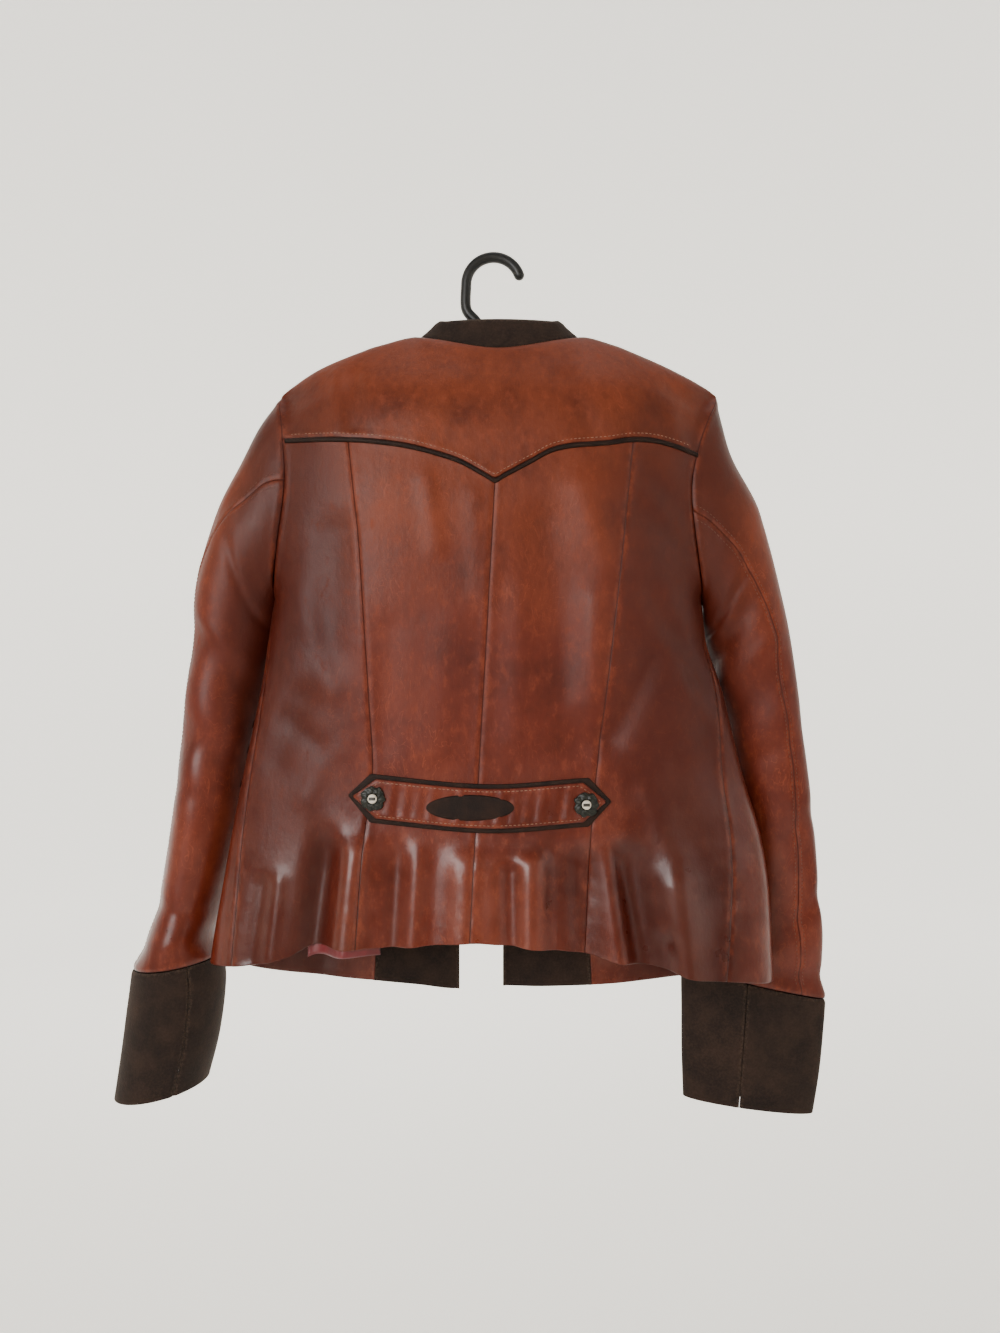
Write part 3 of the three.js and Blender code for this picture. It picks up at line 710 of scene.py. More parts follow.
@dataclass
class Sheet:
    """A thin shell of cloth over a grid of points."""

    piece: Piece
    points: Array
    thick: float
    heart: Array
    fold: Array | None = None
    sewn: str = "lrtb"
    pucker: float = 0.22
    roll: float = 0.5
    rests_on: tuple[str, ...] = ()
    seed: float = 0.0
    carries: tuple[str, ...] = ()

    def build(self) -> bpy.types.Object:
        """Make the shell with rolled, slightly puckered seams.

        Returns:
            The object.
        """
        points = self.points
        rows, cols = points.shape[:2]
        along, down = walk(points, 1), walk(points, 0)
        gaps = {"l": along, "r": along[:, -1:] - along, "t": down, "b": down[-1:] - down}
        runs = {"l": down, "r": down, "t": along, "b": along}
        rim = np.full((rows, cols), 99.0)
        out = np.zeros((rows, cols))
        for edge in self.sewn:
            gap = gaps[edge]
            rim = np.minimum(rim, gap)
            wave = self.pucker * ripple(runs[edge] * 0.8, self.seed + ord(edge))
            out += wave * np.exp(-((gap / 9) ** 2)) * (1 - np.exp(-((gap / 1.5) ** 2)))
            out -= self.roll * np.exp(-((gap / 1.5) ** 2))
            out += 0.35 * np.exp(-(((gap - 4.0) / 2.2) ** 2))
        normals = grid_normals(points, self.heart)
        outer = points + normals * out[..., None]
        inner = outer - grid_normals(outer, self.heart) * self.thick
        fold = self.fold if self.fold is not None else np.zeros((rows, cols))
        both = np.concatenate([outer.reshape(-1, 3), inner.reshape(-1, 3)])
        facts = {"rim": np.tile(rim.ravel(), 2), "fold": np.tile(fold.ravel(), 2)}
        made = self.piece.place(both, self._faces(rows, cols, normals, outer), facts)
        return made

    @staticmethod
    def _area(points: Array) -> float:
        """Area of the outer face.

        Args:
            points: grid in millimetres.

        Returns:
            Square metres.
        """
        a = points[1:, :-1] - points[:-1, :-1]
        b = points[:-1, 1:] - points[:-1, :-1]
        return float(np.linalg.norm(np.cross(a, b), axis=-1).sum()) * MM * MM

    @staticmethod
    def _faces(rows: int, cols: int, normals: Array, points: Array) -> Array:
        """Quads of both faces and the rim, facing out.

        Args:
            rows: rows of the grid.
            cols: columns of the grid.
            normals: directions out.
            points: grid in millimetres.

        Returns:
            Corner numbers, four to a row.
        """
        n = rows * cols
        ids = np.arange(n).reshape(rows, cols)
        front = np.stack([ids[:-1, :-1], ids[1:, :-1], ids[1:, 1:], ids[:-1, 1:]], -1).reshape(-1, 4)
        edge = np.concatenate([
            np.stack([ids[0, 1:], ids[0, :-1]], -1), np.stack([ids[-1, :-1], ids[-1, 1:]], -1),
            np.stack([ids[:-1, 0], ids[1:, 0]], -1), np.stack([ids[1:, -1], ids[:-1, -1]], -1),
        ])
        rim = np.stack([edge[:, 1], edge[:, 0], edge[:, 0] + n, edge[:, 1] + n], -1)
        faces = np.concatenate([front, front[:, ::-1] + n, rim])
        i, j = rows // 2, cols // 2
        turn = np.cross(points[i + 1, j] - points[i, j], points[i, j + 1] - points[i, j])
        return faces if np.dot(turn, normals[i, j]) > 0 else faces[:, ::-1]


# The jacket's body


@dataclass
class Torso:
    """Form of the body: edges, depths, seams and folds by drop, in millimetres."""

    shoulder: float = 124.5
    underarm: float = 300.0
    armhole_back: float = 34.0
    armhole_front: float = 30.0
    ridge: float = -8.0
    ridge_round: float = 85.0
    neck: tuple[float, float] = (-71.5, 74.0)
    front_edges: tuple[float, float] = (-35.0, 4.5)
    left: Curve = field(default_factory=lambda: Curve(
        (124.5, -192), (160, -186), (205, -183), (255, -190), (300, -197), (373, -206),
        (478, -226), (548, -238), (616, -249), (660, -251)))
    right: Curve = field(default_factory=lambda: Curve(
        (124.5, 193.5), (150, 181), (178, 171), (210, 166), (250, 170), (300, 179), (340, 183),
        (382, 196), (452, 212), (504, 227), (548, 234), (632, 238), (660, 238)))
    side_depth: Curve = field(default_factory=lambda: Curve(
        (120, -8), (300, -8), (380, -18), (470, -24), (560, -27), (660, -26)))
    back_depth: Curve = field(default_factory=lambda: Curve(
        (60, -36), (85, -42), (130, -58), (200, -66), (240, -68), (330, -66), (440, -62),
        (480, -63), (540, -69), (600, -76)))
    front_depth: Curve = field(default_factory=lambda: Curve(
        (69, 6), (100, 14), (144, 24), (230, 36), (300, 36), (440, 24), (560, 17), (660, 15)))
    shoulder_line: Curve = field(default_factory=lambda: Curve(
        (-192, 124.5), (-184.4, 116), (-157.8, 98.2), (-115, 80.4), (-104, 77), (-71.5, 69.5),
        (74, 69.5), (103, 77), (112, 80.4), (152.5, 98.2), (185.3, 116), (193.5, 124.5)))
    neck_back: Curve = field(default_factory=lambda: Curve(
        (-71.5, 69.5), (-54, 75.5), (0, 86), (56, 75.5), (74, 69.5)))
    neck_back_y: Curve = field(default_factory=lambda: Curve(
        (-71.5, -8), (-54, -22), (0, -33), (56, -22), (74, -8)))
    neck_left: Curve = field(default_factory=lambda: Curve(
        (-71.5, 69.5), (-67, 98), (-54, 128), (-35, 143.5)))
    neck_left_y: Curve = field(default_factory=lambda: Curve((-71.5, -8), (-67, 4), (-54, 16), (-35, 22)))
    neck_right: Curve = field(default_factory=lambda: Curve((4.5, 144), (46, 130), (68, 98), (74, 69.5)))
    neck_right_y: Curve = field(default_factory=lambda: Curve((4.5, 22), (46, 16), (68, 4), (74, -8)))
    yoke: Curve = field(default_factory=lambda: Curve(
        (-190, 165), (-178, 165.6), (-141, 167.7), (-115, 169.5), (-81.5, 174), (-56, 180),
        (-31, 188.4), (-10, 200.2), (-2.3, 204.2), (5, 200.2), (27, 188.4), (43.4, 179.3),
        (60, 175), (93, 171.8), (113.6, 168.6), (136, 169.2), (168, 177), (180, 181)))
    hem_back: Curve = field(default_factory=lambda: Curve(
        (-249, 616), (-210, 611), (-173.5, 602), (-152.7, 592.6), (-126, 593), (-81, 592.4),
        (-47, 589.4), (-23, 587.5), (2, 589), (35, 593), (72, 599), (101, 606), (135, 611),
        (162, 618), (208, 626), (238, 632)))
    hem_front: Curve = field(default_factory=lambda: Curve(
        (-249, 616), (-213, 630.6), (-152, 641), (-107, 646), (-71, 649.5), (-39, 653),
        (4.5, 650.4), (38, 651), (88, 649.5), (111, 647.7), (138, 644), (174, 639), (238, 632)))
    seam_center: Curve = field(default_factory=lambda: Curve(
        (170, -1), (204.7, -2.3), (330, -9), (459, -16.4), (589, -23)))
    princess_left: Curve = field(default_factory=lambda: Curve(
        (160, -127), (247, -117.2), (306, -113), (400, -107), (451, -104.7), (497, -110.5),
        (593, -116.5)))
    princess_right: Curve = field(default_factory=lambda: Curve(
        (160, 115), (272, 103.3), (389, 90), (464, 80.8), (514, 76.7), (597, 72.5)))
    inset_left: Curve = field(default_factory=lambda: Curve(
        (300, 0), (380, 5), (500, 12.6), (606, 24), (640, 26)))
    inset_right: Curve = field(default_factory=lambda: Curve(
        (300, 0), (390, 9), (500, 30), (620, 47), (640, 49)))
    band_left: Curve = field(default_factory=lambda: Curve((70, -54), (150, -64), (400, -97), (650, -112)))
    band_right: Curve = field(default_factory=lambda: Curve((70, 46), (150, 46), (400, 72), (650, 84.5)))
    belt_middle: Curve = field(default_factory=lambda: Curve(
        (-124.5, 468.6), (-107, 470.7), (-9, 479.4), (76, 474), (94, 473.6)))
    large_folds: tuple[tuple[float, ...], ...] = (
        (-122, 500, -128, 596, 7, 11), (-140, 500, -153, 600, -8, 10), (-28, 515, -30, 592, 5, 10),
        (-2, 520, -4, 592, 4, 11), (28, 525, 26, 596, 6, 11), (68, 510, 74, 602, -7, 12),
        (104, 500, 124, 612, -9, 13), (150, 545, 158, 620, 6, 13), (72, 215, 92, 275, 4, 12),
        (84, 310, 76, 390, 5, 13), (40, 245, 66, 420, -4, 15), (-138, 250, -142, 345, -5, 14),
        (-168, 390, -190, 440, -5, 11), (124, 196, 158, 228, -4, 9), (116, 225, 160, 262, -4, 9),
        (94, 420, 128, 352, -5, 10), (178, 345, 186, 440, -5, 12))
    small_folds: tuple[tuple[float, ...], ...] = (
        (-60, 205, -52, 262, 1.6, 6), (-84, 500, -88, 592, -3, 6), (-66, 512, -70, 592, 2.4, 6),
        (-198, 545, -206, 606, -3, 6), (-184, 540, -190, 604, 2.2, 5), (10, 530, 12, 590, -3, 6),
        (46, 512, 48, 596, -2.2, 6), (92, 520, 104, 606, 3, 6), (140, 590, 142, 615, -4, 5),
        (-170, 300, -140, 380, 1.8, 8), (-150, 430, -180, 405, -2.6, 7), (-135, 440, -160, 470, 2, 8),
        (130, 300, 150, 345, -2.2, 7), (150, 330, 172, 372, -2.4, 6), (160, 380, 182, 402, 2.2, 6),
        (150, 440, 178, 420, -2.4, 7), (20, 300, 14, 420, 1.6, 9), (-40, 330, -52, 430, 1.4, 12),
        (-20, 220, -14, 300, 1.2, 7), (-90, 330, -96, 430, -1.5, 9), (120, 470, 150, 520, 2.2, 9))
    yoke_folds: tuple[tuple[float, ...], ...] = (
        (-125, 112, -122, 160, -2.6, 7), (-138, 106, -136, 158, 1.8, 6), (150, 150, 158, 178, 2.2, 6),
        (60, 120, 78, 164, -1.8, 9), (-40, 120, -70, 165, 1.2, 10), (150, 120, 176, 140, -2.0, 8))

    def girth(self, drop: Array) -> tuple[Array, Array]:
        """Middle and half width at a height.

        Args:
            drop: height below the origin.

        Returns:
            Middle and half width.
        """
        left, right = self.left(drop), self.right(drop)
        return (left + right) / 2, (right - left) / 2

    def share(self, x: Array, drop: Array) -> Array:
        """Share of the half width at x.

        Args:
            x: place across.
            drop: height below the origin.

        Returns:
            Shares from -1 to 1.
        """
        mid, half = self.girth(drop)
        return (x - mid) / half

    def swell(self, drop: Array) -> Array:
        """How far round the armhole loop a height lies.

        Args:
            drop: height below the origin.

        Returns:
            0 at the top and bottom of the loop, 1 half way.
        """
        half = (self.underarm - self.shoulder) / 2
        c = (self.shoulder + half - drop) / half
        return np.sqrt(np.maximum(0, 1 - c * c))

    def loop(self, s: Array, drop: Array) -> Array:
        """Swell of the armhole, softened away from the armhole's edge.

        Args:
            s: share of the half width.
            drop: height below the origin.

        Returns:
            Shares from 0 to 1.
        """
        soft = sum(self.swell(drop + d) for d in np.linspace(-36, 36, 13)) / 13
        return lerp(soft, self.swell(drop), np.minimum(1, np.abs(s)) ** 30)

    def _form(self, s: Array, drop: Array, rim: Array, depth: Array, top: tuple[Array, Array]) -> Array:
        """Depth of the body between its edge and its middle, rounded over the top.

        Args:
            s: share of the half width.
            drop: height below the origin.
            rim: depth at the edge.
            depth: depth in the middle.
            top: drop and y of the top line.

        Returns:
            Values of y.
        """
        power = lerp(1, 0.5, smooth(240, 330, drop))
        full = lerp(rim, depth, np.maximum(0, 1 - s**4) ** power)
        k = np.clip((drop - top[0]) / self.ridge_round, 0, 1)
        rise = np.sqrt(np.maximum(0, 1 - (1 - k) ** 2))
        rise = lerp(rise, 1, np.minimum(1, np.abs(s)) ** lerp(60, 8, smooth(0, 40, drop - top[0])))
        return lerp(top[1], full, rise)

    def top_back(self, x: Array) -> tuple[Array, Array]:
        """Top line of the back.

        Args:
            x: place across.

        Returns:
            Drop and y of the line.
        """
        inside = (x > self.neck[0]) & (x < self.neck[1])
        return (np.where(inside, self.neck_back(x), self.shoulder_line(x)),
                np.where(inside, self.neck_back_y(x), self.ridge))

    def top_front(self, x: Array) -> tuple[Array, Array]:
        """Top line of the fronts.

        Args:
            x: place across.

        Returns:
            Drop and y of the line.
        """
        mid = sum(self.front_edges) / 2
        left, right = (x > self.neck[0]) & (x < mid), (x >= mid) & (x < self.neck[1])
        drop = np.where(left, self.neck_left(x), np.where(right, self.neck_right(x), self.shoulder_line(x)))
        y = np.where(left, self.neck_left_y(x), np.where(right, self.neck_right_y(x), self.ridge))
        return drop, y

    def fold_back(self, x: Array, drop: Array) -> Array:
        """Height of the folds of the back.

        Args:
            x: place across.
            drop: height below the origin.

        Returns:
            Heights, out of the back.
        """
        calm = 1 - np.exp(-(((drop - self.belt_middle(x)) / 38) ** 6))
        under_belt = smooth(-165, -135, x) * (1 - smooth(105, 135, x))
        body = folds(self.large_folds, x, drop) + folds(self.small_folds, x, drop)
        body = body * lerp(1, 1.5, smooth(490, 540, drop))
        return body * lerp(1, calm, under_belt) + folds(self.yoke_folds, x, drop)

    def back(self, s: Array, drop: Array) -> Array:
        """Points of the back.

        Args:
            s: share of the half width.
            drop: height below the origin.

        Returns:
            Points in millimetres.
        """
        mid, half = self.girth(drop)
        x = mid + half * s
        rim = self.side_depth(drop) - self.armhole_back * self.loop(s, drop)
        y = self._form(s, drop, rim, self.back_depth(drop), self.top_back(x))
        y = y - self.fold_back(x, drop) * np.maximum(0, 1 - s**8)
        return np.stack([x, y, -drop + 0 * x], -1)

    def front(self, s: Array, drop: Array) -> Array:
        """Points of the fronts.

        Args:
            s: share of the half width.
            drop: height below the origin.

        Returns:
            Points in millimetres.
        """
        mid, half = self.girth(drop)
        x = mid + half * s
        rim = self.side_depth(drop) + self.armhole_front * self.loop(s, drop)
        y = self._form(s, drop, rim, self.front_depth(drop), self.top_front(x))
        y = y + folds(self.front_folds(), x, drop) * np.maximum(0, 1 - s**8)
        return np.stack([x, y, -drop + 0 * x], -1)

    @staticmethod
    def front_folds() -> tuple[tuple[float, ...], ...]:
        """Folds of the hidden fronts, like those of the back.

        Returns:
            Rows for folds().
        """
        return ((-150, 330, -140, 470, -3, 12), (140, 320, 130, 460, -3, 12), (-170, 500, -160, 620, 4, 12),
                (150, 520, 160, 620, 3.5, 12), (-90, 260, -100, 380, 2, 12), (110, 230, 100, 330, 2, 12),
                (-150, 190, -110, 240, -2.5, 9), (150, 190, 110, 240, -2.5, 9))

    def on_back(self, x: Array, drop: Array, out: Any) -> tuple[Array, Array]:
        """Points moved out from the back, with the directions out.

        Args:
            x: place across.
            drop: height below the origin.
            out: distance moved out.

        Returns:
            Points and unit directions.
        """
        x, drop = np.broadcast_arrays(np.asarray(x, float), np.asarray(drop, float))
        at = lambda a, b: self.back(self.share(a, b), b)
        across = at(x + 2, drop) - at(x - 2, drop)
        down = at(x, drop + 2) - at(x, drop - 2)
        normal = unit(np.cross(down, across))
        normal = normal * np.where(normal[..., 1:2] > 0, -1, 1)
        return at(x, drop) + normal * np.asarray(out, float)[..., None], normal

    def outline(self, side: Side, drop: Array) -> Array:
        """Armhole edge and side seam of a back panel.

        Args:
            side: which side.
            drop: height below the origin.

        Returns:
            Places across.
        """
        below = drop > self.underarm
        if side is Side.LEFT:
            return self.left(drop) + np.where(below, self.inset_left(drop), 0)
        return self.right(drop) - np.where(below, self.inset_right(drop), 0)

    def column(self, a: Array, b: Array, drop: Array, k: Array, side: Side | None) -> Array:
        """Columns between two lines, closer together towards the side.

        Args:
            a: first line.
            b: second line.
            drop: height below the origin.
            k: share from a to b.
            side: the side, or None for even columns.

        Returns:
            Places across.
        """
        if side is None:
            return lerp(a, b, k)
        turn = lambda x: np.arccos(np.minimum(1, self.share(x, drop) ** 2))
        s = side.value * np.sqrt(np.maximum(0, np.cos(lerp(turn(a), turn(b), k))))
        mid, half = self.girth(drop)
        return lerp(mid + half * s, lerp(a, b, k), 0.45)


@dataclass
class Body:
    """Leather and suede panels of the body."""

    torso: Torso
    leather: bpy.types.Material
    suede: bpy.types.Material
    lining: bpy.types.Material
    step: float = 3.6
    gap: float = -0.2
    heart: tuple[float, float, float] = (0.0, -10.0, -350.0)

    def build(self) -> None:
        """Make every panel of the body."""
        t = self.torso
        self.yoke()
        self.back("back_side_left", lambda d: t.outline(Side.LEFT, d) - 0.2,
                  lambda d: t.princess_left(d) - self.gap, 120, Side.LEFT)
        self.back("back_center_left", lambda d: t.princess_left(d) + self.gap,
                  lambda d: t.seam_center(d) - self.gap, 110, None)
        self.back("back_center_right", lambda d: t.seam_center(d) + self.gap,
                  lambda d: t.princess_right(d) - self.gap, 110, None)
        self.back("back_side_right", lambda d: t.princess_right(d) + self.gap,
                  lambda d: t.outline(Side.RIGHT, d) + 0.2, 120, Side.RIGHT)
        for side, band in ((Side.LEFT, t.band_left), (Side.RIGHT, t.band_right)):
            self.front(side, band)
        left, right = t.front_edges
        self.band("front_band_left", lambda d: t.band_left(d) - 0.3,
                  lambda d: left + 0 * d)
        self.band("front_band_right", lambda d: right + 0 * d, lambda d: t.band_right(d) + 0.3)
        self.collar()
        self.lining_strip()

    def yoke(self) -> None:
        """Pointed back yoke."""
        t = self.torso
        k = stations(380, self.step)[None, :] * 2 - 1
        v = np.concatenate([[0, 0.004, 0.012, 0.03, 0.055], np.linspace(0.09, 0.95, 30),
                            [0.965, 0.98, 0.99, 1]])[:, None]
        drop = np.full((v.size, k.size), 140.0)
        for _ in range(14):
            mid, half = t.girth(drop)
            x = mid + half * k
            drop = lerp(t.top_back(x)[0], t.yoke(x) - self.gap, v)
        points = t.back(k + 0 * drop, drop)
        points[..., 1] -= 0.45
        Sheet(Piece("back_yoke_skin", Slot.LEATHER, self.leather, "back_yoke"), points, 1.4,
              np.array((0, 0, -150.0)), t.fold_back(x, drop), "lrb", 0.35, seed=1.3,
              rests_on=("hanger_arms",), carries=("yoke_piping_skin", "yoke_stitches")).build()

    def back(self, node: str, left: Callable, right: Callable, width: float, side: Side | None) -> None:
        """A panel below the yoke.

        Args:
            node: solid that it stands for.
            left: left edge by drop.
            right: right edge by drop.
            width: usual width.
            side: side towards which it turns.
        """
        t = self.torso
        k = stations(width, self.step)[None, :]
        v = stations(430, self.step)[:, None]
        drop = lerp(170.0, 600.0, v) + 0 * k
        for _ in range(8):
            x = t.column(left(drop), right(drop), drop, k, side)
            drop = lerp(t.yoke(x) + self.gap, t.hem_back(x), v)
        points = t.back(t.share(x, drop), drop)
        Sheet(Piece(node + "_skin", Slot.LEATHER, self.leather, node), points, 1.4,
              np.array(self.heart), t.fold_back(x, drop), "lrt", 0.25, seed=width + len(node)).build()

    def front(self, side: Side, band: Curve) -> None:
        """A front, from the side seam round the side to its band.

        Args:
            side: which front.
            band: outer edge of its suede band.
        """
        t, sign = self.torso, side.value
        k = stations(260, self.step)[None, :]
        v = np.concatenate([[0, 0.001, 0.003, 0.007, 0.014, 0.025], np.linspace(0.04, 0.985, 130),
                            [0.992, 0.997, 1]])[:, None]
        drop = lerp(110.0, 630.0, v) + 0 * k
        for _ in range(14):
            seam = np.minimum(1, np.abs(t.share(t.outline(side, drop), drop)))
            start = np.where(drop > t.underarm, -np.arccos(np.minimum(1, seam * seam)), 0)
            edge = t.share(band(drop) + sign * self.gap, drop)
            angle = lerp(start, np.arccos(edge * edge), k)
            s = sign * np.sqrt(np.maximum(0, np.cos(angle)))
            mid, half = t.girth(drop)
            x = mid + half * s
            behind = angle < 0
            drop = lerp(t.top_front(x)[0], np.where(behind, t.hem_back(x), t.hem_front(x)), v)
        points = np.where(behind[..., None], t.back(s, drop), t.front(s, drop))
        points[..., 1] += np.where(behind, 0, 0.45 * (1 - smooth(0, 60, drop - 70)))
        name = "front_" + side.name.lower()
        Sheet(Piece(name + "_skin", Slot.LEATHER, self.leather, name), points, 1.4,
              np.array(self.heart), None, "lr", 0.25, seed=3.0 + sign).build()

    def band(self, node: str, left: Callable, right: Callable) -> None:
        """Suede band of a front edge.

        Args:
            node: solid that it stands for.
            left: left edge by drop.
            right: right edge by drop.
        """
        t = self.torso
        k = stations(70, self.step)[None, :]
        v = stations(520, self.step)[:, None]
        drop = lerp(140.0, 650.0, v) + 0 * k
        for _ in range(14):
            x = lerp(left(drop), right(drop), k)
            drop = lerp(t.top_front(x)[0], t.hem_front(x), v)
        Sheet(Piece(node + "_skin", Slot.SUEDE, self.suede, node), t.front(t.share(x, drop), drop), 1.8,
              np.array(self.heart), None, "lr", 0.12, 0.5).build()

    def collar(self) -> None:
        """Suede stand collar, rising inside the neck edge."""
        t = self.torso
        stops = np.array([-35, -42, -49, -56, -63, -68, -71.5, -66, -54, -40, -25, -8, 10, 27, 42, 56,
                          68, 74, 71, 66, 56, 44, 30, 17, 4.5])
        top = Path((0, -34, 15, 119), (3, -47, 10, 102), (5, -53, 2, 78), (6, -54.5, -7, 58),
                   (8, -44, -20, 58.5), (11.5, 0, -30, 60), (15, 46, -20, 58.5), (17, 55.5, -7, 57),
                   (18.5, 55, 2, 80), (21, 38, 10, 104), (24, 5.5, 15, 120))
        i = np.linspace(0, 24, 145)
        x = np.interp(i, np.arange(25), stops)
        behind = (i >= 6) & (i <= 17)
        drop = np.where(behind, t.top_back(x)[0], t.top_front(x)[0])
        y = np.where(behind, t.top_back(x)[1], t.top_front(x)[1])
        base = np.stack([x, y, -drop - 1.8], -1)
        inward = unit(np.stack([-x, -4 - y, 0 * x], -1))
        base = base + inward * np.where(behind, 1.4, 2.8)[:, None]
        k = np.linspace(0, 1, 12)[:, None, None]
        points = lerp(base[None], top(i)[None], k)
        bulge = np.sin(np.pi * k[..., 0]) * 0.8 + 0.25 * np.sin(i / 1.7)[None] * k[..., 0]
        points = points - inward[None] * bulge[..., None]
        Sheet(Piece("collar_skin", Slot.SUEDE, self.suede, "collar"), points, 1.8,
              np.array((0, -5, -80.0)), None, "tb", 0.15, 0.4).build()

    def lining_strip(self) -> None:
        """Red lining where it hangs below the back hem."""
        t = self.torso
        k = np.linspace(0, 1, 40)[None, :]
        v = np.linspace(0, 1, 24)[:, None]
        x = lerp(-158.0, -96.0, k) + 0 * v
        drop = t.hem_back(x) + lerp(-40, 8.5, v) * lerp(1, 0.62, k**2)
        points, _ = t.on_back(x, drop, np.full(x.shape, -3.2))
        Sheet(Piece("lining_skin", Slot.LINING, self.lining, "lining_back"), points, 0.5,
              np.array(self.heart), None, "", 0.0, 0.0).build()


@dataclass
class Sleeve:
    """One sleeve of two leather pieces with a suede cuff."""

    side: Side
    torso: Torso
    outer: Path
    inner: Path
    back: Curve
    front: Curve
    elbow: Curve
    cuff_seam: Curve
    folds: tuple[tuple[float, ...], ...]
    leather: bpy.types.Material
    suede: bpy.types.Material
    forearm: float = -2.1
    gap: float = 0.0

    def swell(self, t: Array, turn: Array) -> Array:
        """Height of the folds of the sleeve.

        Args:
            t: share of the sleeve's length.
            turn: angle round the sleeve.

        Returns:
            Heights in millimetres.
        """
        total = np.zeros(np.broadcast(t, turn).shape)
        for t0, a0, t1, a1, height, wide_t, wide_a in self.folds:
            k = np.clip((turn - a0) / (a1 - a0), 0, 1)
            gap = ((t - lerp(t0, t1, k)) / wide_t) ** 2 + ((turn - lerp(a0, a1, k)) / wide_a) ** 2
            total = total + height * np.exp(-gap / 2)
        return total

    def at(self, t: Array, turn: Array) -> Array:
        """Points of the sleeve.

        Args:
            t: share of the length, 1 at the cuff seam.
            turn: 0 on the outer line, growing over the back to the inner line.

        Returns:
            Points in millimetres.
        """
        t, turn = np.broadcast_arrays(t, turn)
        sign = self.side.value
        a, b = self.outer(t), self.inner(t)
        c, s = np.cos(turn), np.sin(turn)
        point = (a + b) / 2 + (a - b) / 2 * c[..., None]
        swell = self.swell(t, turn)
        depth = np.where(s > 0, self.back(t), self.front(t))
        edge = self.torso.left(-point[..., 2]) if sign < 0 else self.torso.right(-point[..., 2])
        start = 1 - smooth(0, 0.2, t)
        straight = lerp(self.inner(0.0)[0], self.outer(0.0)[0], (1 + c) / 2)
        point[..., 1] -= depth * s + swell * s
        point[..., 0] += sign * swell * c + start * (edge - straight)
        point[..., 0] += sign * self.gap * (1 - smooth(0, 0.05, t))
        return point

    def heart(self, t: Any) -> Array:
        """Middle of the sleeve.

        Args:
            t: share of the length.

        Returns:
            A point for each share.
        """
        return (self.outer(t) + self.inner(t)) / 2

    def build(self) -> None:
        """Make the two pieces and the cuff."""
        name = self.side.name.lower()
        t = stations(500, 3.6)[:, None]
        for part, low, high in (
            ("upper_sleeve_", lambda v: self.forearm + 0 * v, lambda v: self.elbow(v) + 0.004),
            ("under_sleeve_", lambda v: self.elbow(v) - 0.004, lambda v: self.forearm + 2 * math.pi + 0 * v),
        ):
            k = stations(150, 3.4)[None, :]
            turn = lerp(low(t), high(t), k)
            node = part + name
            Sheet(Piece(node + "_skin", Slot.LEATHER, self.leather, node), self.at(t, turn), 1.4,
                  self.heart(0.5), self.swell(t, turn), "lrtb", 0.3, seed=len(node) * 1.7).build()
        v = stations(110, 3.4)[:, None]
        k = stations(270, 3.4)[None, :]
        t = lerp(1.002, 1.2, v)
        turn = self.cuff_seam(t) + 0.004 + k * (2 * math.pi - 0.008)
        Sheet(Piece("cuff_" + name + "_skin", Slot.SUEDE, self.suede, "cuff_" + name), self.at(t, turn),
              1.8, self.heart(1.1), None, "lrt", 0.15, 0.6).build()


